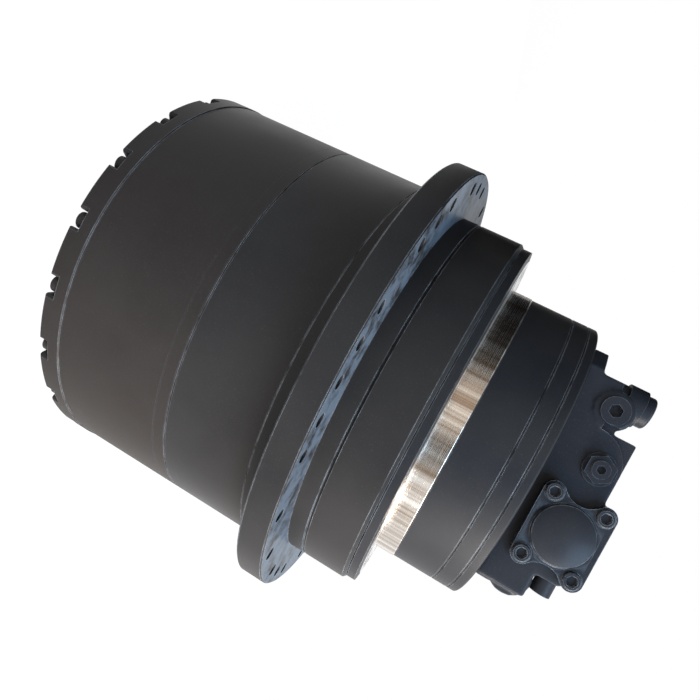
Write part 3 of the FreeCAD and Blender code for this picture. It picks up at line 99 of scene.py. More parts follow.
COVER_DISH_R = 168.0
COVER_DISH_DEPTH = 8.0
COVER_BOSS_R = 42.0
COVER_BORE_R = 26.0
COVER_BORE_DEPTH = 5.0
COVER_BOLTS = 20
COVER_BOLT_CIRCLE_R = COVER_R - 12.8
COVER_BOLT_HOLE_R = 6.8
SEAT_PHASE = -91.0
SEAT_W = 20.0
SEAT_DEPTH = 12.0
NOTCH_ROUND = 5.5       # rounding of the rim on each side of a bolt seat
COVER_PLUGS = 3
COVER_PLUG_PHASE = 30.0
PLUG_HOLE_R = 15.0
PLUG_CIRCLE_R = 120.0

MOUNT_LOW = HUB_TOP + 1.0
MOUNT_TOP = MOUNT_LOW + 11.0
MOUNT_R = HUB_R - 3.7
MOUNT_FACE_R = MOUNT_R - 10.0
MOUNT_HOLES = 30
MOUNT_HOLE_R = 7.4
MOUNT_CIRCLE_R = 200.0
MOUNT_PHASE = -94.7
LIP_R = 213.0            # of the casing's lip, which turns down into the hub's seal pocket
LIP_INNER_R = 202.0
LIP_LOW = HUB_TOP - 25.0
FLANGE_BACK = HUB_TOP - 6.0
NECK_R = 170.0
NECK_LOW = 356.0
SHOULDER_R = 153.0
SHOULDER_TOP = 348.0
SPINDLE_R = 140.0
SPINDLE_LOW = 206.0
CHAMBER_R = 112.0
SPIGOT_R = 177.0
SPIGOT_TOP = MOUNT_TOP + 24.0
CASE_R = 176.0
CASE_GROOVES = (10.0, 29.0)
CASE_GROOVE_W = 2.0
CASE_GROOVE_DEPTH = 1.4

BLOCK_FRONT = -126.0
BLOCK_REAR = 92.0
BLOCK_LEFT = -116.0
BLOCK_RIGHT = 94.0
TOP_TIER_LEFT = -65.5
LOW_TIER_TOP = CASE_TOP + 38.0
PLATE_TOP = CASE_TOP + 15.0
PLATE_LEFT = -139.0
PLATE_RIGHT = 124.0

SPOOL_X = 46.0
SPOOL_Z = CASE_TOP + 53.0
CAP_T = 10.0
CAP_DOME_R = 30.3
CAP_DOME_RISE = 3.0
CAP_DOME_H = 9.0
CAP_SCREW_DX = 34.6
CAP_SCREW_DZ = 26.4
CAP_LOBE_R = 11.1
CAP_WAIST_X = 57.0      # centre of the hollow between two lobes, from the cap's middle
CAP_SEAT_L = 18.0
CAP_SCREW_R = 9.0
CAP_SCREW_H = 8.0
CAP_SCREW_SUNK = 5.0
CAP_SCREW_SOCKET_R = 5.77

SPEED_X = -87.0
SPEED_Z = CASE_TOP + 41.0
SPEED_BOSS_R = 20.0
SPEED_BOSS_L = 3.0
DRAIN_X = -106.5
DRAIN_Y = -76.0
DRAIN_LUG_R = 18.0
DRAIN_LUG_LOW = CASE_TOP + 36.0
DRAIN_LUG_TOP = CASE_TOP + 52.5
DRAIN_COLLAR_R = 20.9
LUG_RIGHT = 121.0
LUG_TOP = CASE_TOP + 50.0
LUG_REAR = BLOCK_FRONT + 58.0
ROUND_BOSS_X = 107.0
ROUND_BOSS_Z = CASE_TOP + 30.4
ROUND_BOSS_R = 22.0
ROUND_BOSS_FRONT = BLOCK_FRONT + 6.0
FRONT_CORNER_R = 37.5
FRONT_CORNER_DEPTH = 2.0
MAIN_PORT_X = -26.0
MAIN_PORTS_Y = (-42.0, 8.0)
MAIN_PORT_R = 19.0
MAIN_PORT_DEPTH = 26.0
SPOOL_BORE_R = 16.05
SPEED_BORE_R = 9.05
REAR_BEARING_R = 28.0
REAR_BEARING_DEPTH = 29.0
TOP_BOLTS = ((-53.0, -110.0), (79.0, -94.5))
TOP_BOLT_POCKET_R = 13.0
TOP_BOLT_SUNK = 16.0


EDGE = 1.5               # chamfer of a turned rim


# ---------------------------------------------------------------- modelling helpers
def deselect_all():
    bpy.ops.object.select_all(action="DESELECT")


def pick(obj):
    deselect_all()
    obj.select_set(True)
    bpy.context.view_layer.objects.active = obj


def edit(obj):
    pick(obj)
    bpy.ops.object.mode_set(mode="EDIT")
    bpy.ops.mesh.select_all(action="SELECT")


def finish_edit():
    bpy.ops.object.mode_set(mode="OBJECT")


def named(name):
    obj = bpy.context.object
    obj.name = name
    obj.data.name = name
    return obj


def turned(name, outline, sides=SIDES):
    """Turned piece on the drive axis: a circle extruded and resized from point to point of an
    outline of (radius, height) pairs. It closes where the outline meets the axis or itself."""
    deselect_all()
    radius, height = outline[0]
    bpy.ops.mesh.primitive_circle_add(vertices=sides, radius=radius * MM, location=(0, 0, height * MM))
    obj = named(name)
    bpy.ops.object.transform_apply()
    edit(obj)
    for (r, z), (next_r, next_z) in zip(outline, outline[1:]):
        rise = {"value": (0, 0, (next_z - z) * MM)}
        bpy.ops.mesh.extrude_region_move(TRANSFORM_OT_translate=rise)
        if next_r != r:
            ratio = next_r / r
            bpy.ops.transform.resize(value=(ratio, ratio, 1), center_override=(0, 0, next_z * MM))
    bpy.ops.mesh.select_all(action="SELECT")
    bpy.ops.mesh.remove_doubles(threshold=0.02 * MM)
    bpy.ops.mesh.normals_make_consistent(inside=False)
    finish_edit()
    return obj


def drum(name, radius, low, high, x=0.0, y=0.0, sides=SMALL_SIDES):
    """Plain round piece or cutter, standing along Z."""
    deselect_all()
    place = (x * MM, y * MM, (low + high) / 2 * MM)
    bpy.ops.mesh.primitive_cylinder_add(vertices=sides, radius=radius * MM, depth=(high - low) * MM,
                                        location=place)
    obj = named(name)
    bpy.ops.object.transform_apply()
    return obj


def slab(name, low, high):
    """Box between two corners."""
    deselect_all()
    middle = [(a + b) / 2 * MM for a, b in zip(low, high)]
    bpy.ops.mesh.primitive_cube_add(size=1, location=middle)
    obj = named(name)
    obj.scale = [(b - a) * MM for a, b in zip(low, high)]
    bpy.ops.object.transform_apply()
    return obj


def placed(obj, x=0.0, y=0.0, z=0.0, turn=(0.0, 0.0, 0.0)):
    """Turns a piece about the origin, moves it into place and applies both."""
    pick(obj)
    obj.rotation_euler = [math.radians(a) for a in turn]
    obj.location = (x * MM, y * MM, z * MM)
    bpy.ops.object.transform_apply()
    return obj


FRONT = (90.0, 0.0, 0.0)        # turns a piece that points up so that it points to -Y
REAR = (-90.0, 0.0, 0.0)


def copied(obj, name):
    twin = obj.copy()
    twin.data = obj.data.copy()
    twin.name = name
    twin.data.name = name
    bpy.context.scene.collection.objects.link(twin)
    return twin


def joined(name, objs):
    deselect_all()
    for obj in objs:
        obj.select_set(True)
    bpy.context.view_layer.objects.active = objs[0]
    bpy.ops.object.join()
    return named(name)


def around(obj, angles):
    """Copies of a piece turned to each angle round the drive axis, as one piece."""
    copies = [placed(copied(obj, obj.name), turn=(0, 0, angle)) for angle in angles]
    name = obj.name
    bpy.data.objects.remove(obj)
    return joined(name, copies)


def even_angles(count, first):
    return [first + 360.0 * i / count for i in range(count)]


def apply_modifier(obj, kind, **settings):
    pick(obj)
    bpy.ops.object.modifier_add(type=kind)
    modifier = obj.modifiers[-1]
    for key, value in settings.items():
        setattr(modifier, key, value)
    bpy.ops.object.modifier_apply(modifier=modifier.name)


def combine(obj, other, operation):
    apply_modifier(obj, "BOOLEAN", object=other, operation=operation, solver="EXACT")
    bpy.data.objects.remove(other)
    return obj


def cut(obj, other):
    return combine(obj, other, "DIFFERENCE")


def fuse(obj, other):
    return combine(obj, other, "UNION")


def smooth(obj, angle=30.0):
    pick(obj)
    bpy.ops.object.shade_smooth_by_angle(angle=math.radians(angle))
    return obj


def soften(obj, width=0.6, segments=2, angle=30.0):
    """Breaks the sharp edges of a machined piece and smooths its round faces."""
    apply_modifier(obj, "BEVEL", width=width * MM, segments=segments, limit_method="ANGLE",
                   angle_limit=math.radians(angle), use_clamp_overlap=True)
    smooth(obj)
    apply_modifier(obj, "WEIGHTED_NORMAL", keep_sharp=True, weight=60)
    return obj


def cast(obj, grain, passes):
    """Gives a block the soft, rounded edges of a casting."""
    apply_modifier(obj, "REMESH", mode="VOXEL", voxel_size=grain * MM)
    apply_modifier(obj, "SMOOTH", factor=0.5, iterations=passes)
    return smooth(obj, 60.0)


def dress(obj, body, material):
    """Gives a finished piece its material and its body."""
    obj.data.materials.clear()
    obj.data.materials.append(material)
    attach(obj, body)
    return obj


# ---------------------------------------------------------------- shader helpers
def new_group(name, inputs, outputs):
    """Empty shader node group with named sockets."""
    group = bpy.data.node_groups.new(name, "ShaderNodeTree")
    for label, kind, value in inputs:
        socket = group.interface.new_socket(name=label, in_out="INPUT", socket_type=kind)
        socket.default_value = value
    for label, kind in outputs:
        group.interface.new_socket(name=label, in_out="OUTPUT", socket_type=kind)
    return group


class Nodes:
    """Adds nodes to a tree and links them, from left to right."""

    def __init__(self, tree):
        self.tree = tree
        self.column = 0

    def add(self, kind, links=None, **settings):
        node = self.tree.nodes.new(kind)
        node.location = (self.column * 200, 0)
        self.column += 1
        for key, value in settings.items():
            setattr(node, key, value)
        for key, value in (links or {}).items():
            if isinstance(value, bpy.types.NodeSocket):
                self.tree.links.new(value, node.inputs[key])
            else:
                node.inputs[key].default_value = value
        return node

    def noise(self, vector, scale, detail=3.0, roughness=0.5, stretch=None):
        if stretch:
            vector = self.add("ShaderNodeMapping", {"Vector": vector, "Scale": stretch}).outputs[0]
        node = self.add("ShaderNodeTexNoise", {"Vector": vector, "Scale": scale, "Detail": detail,
                                               "Roughness": roughness})
        return node.outputs[0]

    def ramp(self, value, low, high, to_low=0.0, to_high=1.0):
        links = {"Value": value, "From Min": low, "From Max": high, "To Min": to_low, "To Max": to_high}
        return self.add("ShaderNodeMapRange", links).outputs[0]

    def math(self, operation, a, b=0.0):
        return self.add("ShaderNodeMath", {0: a, 1: b}, operation=operation).outputs[0]

def mix_colours(nodes, factor, a, b):
    node = nodes.add("ShaderNodeMix", data_type="RGBA")
    for index, value in ((0, factor), (6, a), (7, b)):
        if isinstance(value, bpy.types.NodeSocket):
            nodes.tree.links.new(value, node.inputs[index])
        else:
            node.inputs[index].default_value = value
    return node.outputs[2]


def paint_wear_group():
    """Colour, roughness and relief of sprayed paint: faint clouds, fine dust and scuffs, rubbed edges made
    light enough to double as a painted highlight, and a painted bluish sky reflection on faces that look up."""
    group = new_group("paint_wear", [
        ("Paint", "NodeSocketColor", (0.03, 0.03, 0.03, 1)),
        ("Wear And Highlight", "NodeSocketColor", (0.2, 0.19, 0.18, 1)),
        ("Roughness", "NodeSocketFloat", 0.4),
        ("Grain", "NodeSocketFloat", 0.3),
        ("Edge", "NodeSocketFloat", 0.5),
        ("Face", "NodeSocketFloat", 0.0),
    ], [("Color", "NodeSocketColor"), ("Roughness", "NodeSocketFloat"), ("Height", "NodeSocketFloat")])
    n = Nodes(group)
    given = n.add("NodeGroupInput").outputs
    place = n.add("ShaderNodeTexCoord").outputs["Object"]
    clouds = n.noise(place, 6.0, 4.0, 0.6)
    specks = n.noise(place, 900.0, 2.0, 0.6)
    peel = n.noise(place, 420.0, 2.0, 0.5)
    scuffs = n.noise(place, 38.0, 5.0, 0.7, stretch=(1.0, 1.0, 3.0))
    rounded = n.add("ShaderNodeBevel", {"Radius": 0.0012}, samples=4).outputs[0]
    plain = n.add("ShaderNodeNewGeometry").outputs["Normal"]
    facing = n.add("ShaderNodeVectorMath", {0: rounded, 1: plain}, operation="DOT_PRODUCT").outputs["Value"]
    # Edge mask: rubbed paint at edges, made wide and light so that it also stands as a painted highlight
    # along chamfers and seams.
    bare = n.ramp(facing, 0.985, 0.90)
    broken = n.math("MULTIPLY", bare, n.ramp(scuffs, 0.34, 0.56))
    edge = n.math("MULTIPLY", broken, given["Edge"])
    tone = mix_colours(n, n.ramp(clouds, 0.3, 0.7, 0.0, 0.35), given["Paint"], (0.05, 0.045, 0.04, 1))
    dusty = mix_colours(n, n.ramp(specks, 0.60, 0.80, 0.0, 0.10), tone, (0.30, 0.27, 0.24, 1))
    # Painted sky reflection: a lighter bluish tone on faces that look up, made patchy by the scuff noise.
    upward = n.add("ShaderNodeSeparateXYZ", {"Vector": plain}).outputs["Z"]
    sky_sheen_mask = n.math("MULTIPLY", n.ramp(upward, 0.85, 0.95), n.ramp(scuffs, 0.36, 0.52))
    faced = mix_colours(n, n.math("MULTIPLY", sky_sheen_mask, given["Face"]), dusty, (0.11, 0.135, 0.165, 1))
    colour = mix_colours(n, edge, faced, given["Wear And Highlight"])
    dull = n.ramp(clouds, 0.35, 0.65, -0.05, 0.07)
    rough = n.math("ADD", given["Roughness"], dull)
    rubbed = n.ramp(scuffs, 0.62, 0.78, 0.0, -0.08)
    height = n.math("MULTIPLY", peel, given["Grain"])
    n.add("NodeGroupOutput", {"Color": colour, "Roughness": n.math("ADD", rough, rubbed), "Height": height})
    return group


def turning_group():
    """Fine rings that a lathe leaves on a face or a shoulder about the drive axis."""
    group = new_group("turning_marks", [
        ("Pitch", "NodeSocketFloat", 900.0),
    ], [("Rings", "NodeSocketFloat"), ("Sweep", "NodeSocketFloat")])
    n = Nodes(group)
    given = n.add("NodeGroupInput").outputs
    place = n.add("ShaderNodeTexCoord").outputs["Object"]
    parts = n.add("ShaderNodeSeparateXYZ", {"Vector": place}).outputs
    flat = n.add("ShaderNodeCombineXYZ", {"X": parts["X"], "Y": parts["Y"]}).outputs[0]
    radius = n.add("ShaderNodeVectorMath", {0: flat}, operation="LENGTH").outputs["Value"]
    across = n.math("ADD", radius, parts["Z"])
    rings = n.add("ShaderNodeTexNoise", {"W": across, "Scale": given["Pitch"], "Detail": 4.0,
                                         "Roughness": 0.7}, noise_dimensions="1D").outputs[0]
    turn = n.math("ARCTAN2", parts["Y"], parts["X"])
    sweep = n.add("ShaderNodeTexNoise", {"W": turn, "Scale": 9.0, "Detail": 5.0,
                                         "Roughness": 0.65}, noise_dimensions="1D").outputs[0]
    n.add("NodeGroupOutput", {"Rings": rings, "Sweep": sweep})
    return group


PAINT_WEAR = paint_wear_group()
TURNING = turning_group()


def new_material(name):
    material = bpy.data.materials.new(name)
    material.use_nodes = True
    material.node_tree.nodes.clear()
    return material, Nodes(material.node_tree)


def shader_out(n, shader):
    n.add("ShaderNodeOutputMaterial", {"Surface": shader.outputs[0]})


PAINT_SPECULAR = 0.12


# The worn colour and the edge amount give rubbed edges that also serve as a painted highlight.
def painted(name, paint, wear_and_highlight, roughness, grain=0.3, edge=0.5, face=0.0, bump=0.05):
    material, n = new_material(name)
    wear = n.add("ShaderNodeGroup", node_tree=PAINT_WEAR)
    for label, value in (("Paint", paint + (1,)), ("Wear And Highlight", wear_and_highlight + (1,)), ("Roughness", roughness),
                         ("Grain", grain), ("Edge", edge), ("Face", face)):
        wear.inputs[label].default_value = value
    relief = n.add("ShaderNodeBump", {"Height": wear.outputs["Height"], "Strength": bump,
                                      "Distance": 0.0004}).outputs[0]
    shader = n.add("ShaderNodeBsdfPrincipled", {
        "Base Color": wear.outputs["Color"], "Roughness": wear.outputs["Roughness"], "Normal": relief,
        "Specular IOR Level": PAINT_SPECULAR, "IOR": 1.5})
    shader_out(n, shader)
    return material


def turned_steel(name, bright, dark, roughness, pitch=900.0, anisotropic=0.0, relief=0.25):
    """Bare metal from the lathe, with its rings, and darker and lighter sweeps round it."""
    material, n = new_material(name)
    marks = n.add("ShaderNodeGroup", node_tree=TURNING)
    marks.inputs["Pitch"].default_value = pitch
    colour = mix_colours(n, n.ramp(marks.outputs["Sweep"], 0.35, 0.65), dark + (1,), bright + (1,))
    rough = n.ramp(marks.outputs["Rings"], 0.3, 0.7, roughness - 0.06, roughness + 0.10)
    bump = n.add("ShaderNodeBump", {"Height": marks.outputs["Rings"], "Strength": relief,
                                    "Distance": 0.0002}).outputs[0]
    tangent = n.add("ShaderNodeTangent", direction_type="RADIAL", axis="Z").outputs[0]
    shader = n.add("ShaderNodeBsdfPrincipled", {
        "Base Color": colour, "Metallic": 1.0, "Roughness": rough, "Normal": bump,
        "Anisotropic": anisotropic, "Tangent": tangent})
    shader_out(n, shader)
    return material


def plain_metal(name, colour, roughness, metallic=1.0, scale=60.0, spread=0.08):
    """Ground or forged metal with cloudy changes of gloss."""
    material, n = new_material(name)
    place = n.add("ShaderNodeTexCoord").outputs["Object"]
    clouds = n.noise(place, scale, 4.0, 0.6)
    fine = n.noise(place, 1400.0, 2.0, 0.6)
    dark = tuple(0.6 * c for c in colour) + (1,)
    tone = mix_colours(n, n.ramp(clouds, 0.35, 0.65), dark, colour + (1,))
    rough = n.ramp(clouds, 0.3, 0.7, roughness - spread, roughness + spread)
    bump = n.add("ShaderNodeBump", {"Height": fine, "Strength": 0.08, "Distance": 0.0002}).outputs[0]
    shader = n.add("ShaderNodeBsdfPrincipled", {"Base Color": tone, "Metallic": metallic,
                                                "Roughness": rough, "Normal": bump})
    shader_out(n, shader)
    return material


# Colour of rubbed edges, kept light so that it also serves as a painted highlight on chamfers and seams.
WEAR_AND_HIGHLIGHT_STEEL = (0.34, 0.36, 0.38)
BARREL_PAINT = painted("barrel_paint", (0.021, 0.016, 0.014), WEAR_AND_HIGHLIGHT_STEEL, 0.44, edge=0.6)
# The hub's face amount of 0.9 paints a bluish sky reflection on its upward faces, such as the top of the
# sprocket flange.
HUB_PAINT = painted("hub_paint", (0.018, 0.0165, 0.0165), WEAR_AND_HIGHLIGHT_STEEL, 0.40, edge=0.7, face=0.9)
CASE_PAINT = painted("case_paint", (0.015, 0.016, 0.019), WEAR_AND_HIGHLIGHT_STEEL, 0.40, edge=0.6)
BLOCK_PAINT = painted("block_paint", (0.011, 0.014, 0.021), WEAR_AND_HIGHLIGHT_STEEL, 0.38, grain=1.0, edge=0.25, bump=0.25)
FITTING_PAINT = painted("fitting_paint", (0.012, 0.015, 0.022), WEAR_AND_HIGHLIGHT_STEEL, 0.32, edge=0.6)
BAND_STEEL = turned_steel("pilot_steel", (0.84, 0.82, 0.78), (0.34, 0.26, 0.20), 0.22, 1400.0, 0.7)
FACE_STEEL = turned_steel("faced_steel", (0.80, 0.80, 0.78), (0.62, 0.60, 0.57), 0.30, 1600.0, 0.4)
GROUND_STEEL = plain_metal("ground_steel", (0.60, 0.60, 0.59), 0.25)
GEAR_STEEL = plain_metal("gear_steel", (0.42, 0.40, 0.38), 0.34)
ZINC_STEEL = plain_metal("zinc_steel", (0.62, 0.61, 0.57), 0.38)
BLACK_STEEL = plain_metal("black_steel", (0.05, 0.05, 0.052), 0.42, metallic=0.6)
SPRING_STEEL = plain_metal("spring_steel", (0.30, 0.30, 0.31), 0.35)
FRICTION_FACE = plain_metal("friction_face", (0.16, 0.14, 0.12), 0.6, metallic=0.3)
BRONZE = plain_metal("bronze", (0.62, 0.42, 0.20), 0.32)
RUBBER = plain_metal("nitrile", (0.018, 0.018, 0.018), 0.6, metallic=0.0)

SLOT_MATERIALS = {
    "barrel_paint": BARREL_PAINT,
    "hub_paint": HUB_PAINT,
    "case_paint": CASE_PAINT,
    "block_paint": BLOCK_PAINT,
    "zinc_steel": ZINC_STEEL,
    "black_bolt": BLACK_STEEL,
    "bearing_steel": GROUND_STEEL,
    "machined_steel": GROUND_STEEL,
    "gear_steel": GEAR_STEEL,
    "friction_disc": FRICTION_FACE,
    "spring_steel": SPRING_STEEL,
    "bronze": BRONZE,
    "nitrile": RUBBER,
}


def dress_cad_nodes():
    """Gives every piece that the frame shows its own finish."""
    for entry in frame["record"]["subparts"]:
        node = frame["nodes"][entry["node"]]
        node.data.materials.clear()
        node.data.materials.append(SLOT_MATERIALS[entry["material_slot"]])
    for name in ("cover_bolts", "cover_plugs"):
        frame["nodes"][name].data.materials[0] = BARREL_PAINT


# ---------------------------------------------------------------- rotating housing
def seat_cutter():
    """Open slot of one bolt seat, with the rim rounded at its mouth."""
    half = SEAT_W / 2
    seat = drum("seat_cutter", half, -5, SEAT_DEPTH, COVER_BOLT_CIRCLE_R, 0)
    fuse(seat, slab("seat_mouth", (COVER_BOLT_CIRCLE_R, -half, -5), (COVER_R + 5, half, SEAT_DEPTH)))
    flare_x, flare_y = COVER_R - NOTCH_ROUND, half + NOTCH_ROUND
    flare = slab("seat_flare", (flare_x, -flare_y, -5), (COVER_R + 5, flare_y, SEAT_DEPTH))
    for side in (-1, 1):
        cut(flare, drum("seat_round", NOTCH_ROUND, -6, SEAT_DEPTH + 1, flare_x, side * flare_y))
    return fuse(seat, flare)


def end_cover():
    """Cover with an open seat for each bolt, cut in through its rim."""
    dish_z, bore_z = COVER_TOP - COVER_DISH_DEPTH, COVER_TOP - COVER_BORE_DEPTH
    outline = [(AXIS, 0), (COVER_R - EDGE, 0), (COVER_R, EDGE), (COVER_R, COVER_TOP - SEAM_CHAMFER),
               (COVER_R - SEAM_CHAMFER, COVER_TOP), (COVER_DISH_R, COVER_TOP), (COVER_DISH_R, dish_z),
               (COVER_BOSS_R, dish_z), (COVER_BOSS_R, COVER_TOP), (COVER_BORE_R, COVER_TOP),
               (COVER_BORE_R, bore_z), (AXIS, bore_z)]
    cover = turned("end_cover_shell", outline)
    bolt_angles = even_angles(COVER_BOLTS, SEAT_PHASE)
    cut(cover, around(seat_cutter(), bolt_angles))
    hole = drum("bolt_hole_cutter", COVER_BOLT_HOLE_R, -5, COVER_TOP + 5, COVER_BOLT_CIRCLE_R, 0)
    cut(cover, around(hole, bolt_angles))
    plug_hole = drum("plug_hole_cutter", PLUG_HOLE_R, -5, COVER_TOP + 5, PLUG_CIRCLE_R, 0)
    cut(cover, around(plug_hole, even_angles(COVER_PLUGS, COVER_PLUG_PHASE)))
    soften(cover, 0.8)
    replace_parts(dress(cover, "hub", BARREL_PAINT), "end_cover")


def turned_line(radius, middle):
    """Points of a shallow V line round a barrel, from below to above."""
    return [(radius, middle - STEP_LINE_W / 2), (radius - STEP_LINE_DEPTH, middle),
            (radius, middle + STEP_LINE_W / 2)]


def ring_gear_wall():
    """Painted outer wall of the ring gear, whose teeth the frame keeps."""
    low, high, inner, outer = COVER_TOP + 0.15, RING_TOP - 0.15, BARREL_R - 6, BARREL_R + 0.05
    outline = [(inner, low), (outer - SEAM_CHAMFER, low), (outer, low + SEAM_CHAMFER)]
    outline += turned_line(outer, STEP_LINE_Z)
    outline += [(outer, high - SEAM_CHAMFER), (outer - SEAM_CHAMFER, high), (inner, high), (inner, low)]
    wall = turned("ring_gear_wall", outline)
    soften(wall, 0.3)
    dress(wall, "hub", BARREL_PAINT)


def hub_housing():
    """Housing from the ring gear up: barrel, sprocket flange and the grooved pilot ring."""
    fillet = []
    for degrees in range(0, 91, 10):
        angle = math.radians(degrees)
        fillet.append((BARREL_R + BARREL_FILLET * (1 - math.cos(angle)),
                       FLANGE_LOW - BARREL_FILLET * (1 - math.sin(angle))))
    groove_r, groove_top = HUB_R - GROOVE_DEPTH, GROOVE_LOW + GROOVE_W
    outline = [(HUB_BORE_R, RING_TOP), (BARREL_R - SEAM_CHAMFER, RING_TOP),
               (BARREL_R, RING_TOP + SEAM_CHAMFER)]
    outline += turned_line(BARREL_R, FLANGE_LOW - 22)
    outline += fillet
    outline += [(FLANGE_R - EDGE, FLANGE_LOW), (FLANGE_R, FLANGE_LOW + EDGE), (FLANGE_R, FLANGE_TOP - EDGE),
                (FLANGE_R - EDGE, FLANGE_TOP), (HUB_R, FLANGE_TOP), (HUB_R, GROOVE_LOW),
                (groove_r, GROOVE_LOW), (groove_r, groove_top), (HUB_R, groove_top),
                (HUB_R, HUB_TOP - HUB_CHAMFER), (HUB_R - HUB_CHAMFER, HUB_TOP), (LIP_R + 1, HUB_TOP),
                (LIP_R + 1, POCKET_STEP_LOW), (POCKET_STEP_R, POCKET_STEP_LOW), (POCKET_STEP_R, POCKET_LOW),
                (HUB_BORE_R, POCKET_LOW), (HUB_BORE_R, RING_TOP)]
    housing = turned("hub_housing_shell", outline)
    hole = drum("sprocket_hole_cutter", SPROCKET_HOLE_R, FLANGE_LOW - 5, FLANGE_TOP + 5, SPROCKET_CIRCLE_R, 0)
    spare = copied(hole, "spare_hole_cutter")
    cut(housing, around(hole, even_angles(SPROCKET_HOLES, SPROCKET_PHASE)))
    step = 360.0 / SPROCKET_HOLES
    cut(housing, around(spare, [SPROCKET_PHASE + step * i for i in SPARE_HOLE_STEPS]))
    soften(housing, 0.7)
    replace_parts(dress(housing, "hub", HUB_PAINT), "hub_housing")


# ---------------------------------------------------------------- motor casing
def motor_case():
    """Casing with the frame flange, the bare pilot and the grooved barrel of the motor."""
    outline = [(CHAMBER_R, CASE_TOP), (CASE_R - EDGE, CASE_TOP), (CASE_R, CASE_TOP - EDGE)]
    groove_r = CASE_R - CASE_GROOVE_DEPTH
    for below_top in CASE_GROOVES:
        high, low = CASE_TOP - below_top, CASE_TOP - below_top - CASE_GROOVE_W
        outline += [(CASE_R, high), (groove_r, high), (groove_r, low), (CASE_R, low)]
    foot = SPIGOT_TOP + 0.2
    outline += [(CASE_R, foot), (CHAMBER_R, foot), (CHAMBER_R, CASE_TOP)]
    case = turned("motor_case_shell", outline)
    soften(case, 0.5)
    dress(case, "case", CASE_PAINT)

    band = turned("pilot_band", [(CHAMBER_R, SPIGOT_TOP), (SPIGOT_R - 0.8, SPIGOT_TOP),
                                 (SPIGOT_R, SPIGOT_TOP - 0.8), (SPIGOT_R, MOUNT_TOP),
                                 (CHAMBER_R, MOUNT_TOP), (CHAMBER_R, SPIGOT_TOP)])
    soften(band, 0.3)
    dress(band, "case", BAND_STEEL)

    top = MOUNT_TOP - 0.1
    flange = turned("frame_flange", [(CHAMBER_R, top), (MOUNT_FACE_R, top), (MOUNT_R, MOUNT_TOP - EDGE),
                                     (MOUNT_R, MOUNT_LOW), (LIP_R, MOUNT_LOW), (LIP_R, LIP_LOW),
                                     (LIP_INNER_R, LIP_LOW), (LIP_INNER_R, FLANGE_BACK),
                                     (NECK_R, FLANGE_BACK), (NECK_R, NECK_LOW),
                                     (SHOULDER_R, SHOULDER_TOP), (SPINDLE_R, SHOULDER_TOP),
                                     (SPINDLE_R, SPINDLE_LOW), (CHAMBER_R, SPINDLE_LOW), (CHAMBER_R, top)])
    hole = drum("frame_hole_cutter", MOUNT_HOLE_R, MOUNT_LOW - 5, MOUNT_TOP + 5, MOUNT_CIRCLE_R, 0)
    face_in, face_low = SPIGOT_R - 2, MOUNT_TOP - 0.6
    face = turned("frame_face", [(face_in, MOUNT_TOP), (MOUNT_FACE_R, MOUNT_TOP), (MOUNT_FACE_R, face_low),
                                 (face_in, face_low), (face_in, MOUNT_TOP)])
    holes = around(hole, even_angles(MOUNT_HOLES, MOUNT_PHASE))
    cut(flange, copied(holes, "flange_holes"))
    cut(face, holes)
    soften(flange, 0.5)
    smooth(face)
    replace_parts(dress(flange, "case", CASE_PAINT), "motor_case")
    dress(face, "case", FACE_STEEL)


# ---------------------------------------------------------------- valve block
def along_y(name, radius, y_low, y_high, x, z, sides=SMALL_SIDES):
    """Round piece or cutter lying along Y."""
    return placed(drum(name, radius, -y_high, -y_low, sides=sides), x, 0, z, turn=FRONT)


def cap_plate(name, low, high):
    """Plate of the spool cap: four screw lobes, straight along X, with a hollow waist at each end."""
    away = math.hypot(CAP_WAIST_X - CAP_SCREW_DX, CAP_SCREW_DZ)
    waist_r = away - CAP_LOBE_R
    touch_x = CAP_SCREW_DX + CAP_LOBE_R * (CAP_WAIST_X - CAP_SCREW_DX) / away
    touch_z = CAP_SCREW_DZ - CAP_LOBE_R * CAP_SCREW_DZ / away
    half = CAP_SCREW_DZ + CAP_LOBE_R
    plate = slab(name, (-CAP_SCREW_DX, -half, low), (CAP_SCREW_DX, half, high))
    fuse(plate, slab("cap_middle", (-touch_x, -touch_z, low), (touch_x, touch_z, high)))
    for sx in (-1, 1):
        cut(plate, drum("cap_waist", waist_r, low - 1, high + 1, sx * CAP_WAIST_X, 0))
    for sx in (-1, 1):
        for sz in (-1, 1):
            fuse(plate, drum("cap_lobe", CAP_LOBE_R, low, high, sx * CAP_SCREW_DX, sz * CAP_SCREW_DZ))
    return plate


def front_corner():
    """What is cut away where the top tier's front face has its large round corner."""
    back_y = BLOCK_FRONT + FRONT_CORNER_DEPTH
    middle_x, middle_z = TOP_TIER_LEFT + FRONT_CORNER_R, BLOCK_TOP - FRONT_CORNER_R
    corner = slab("front_corner", (TOP_TIER_LEFT - 8, BLOCK_FRONT - 8, middle_z),
                  (middle_x, back_y, BLOCK_TOP + 8))
    return cut(corner, along_y("corner_round", FRONT_CORNER_R, BLOCK_FRONT - 9, back_y + 1,
                               middle_x, middle_z, SIDES))


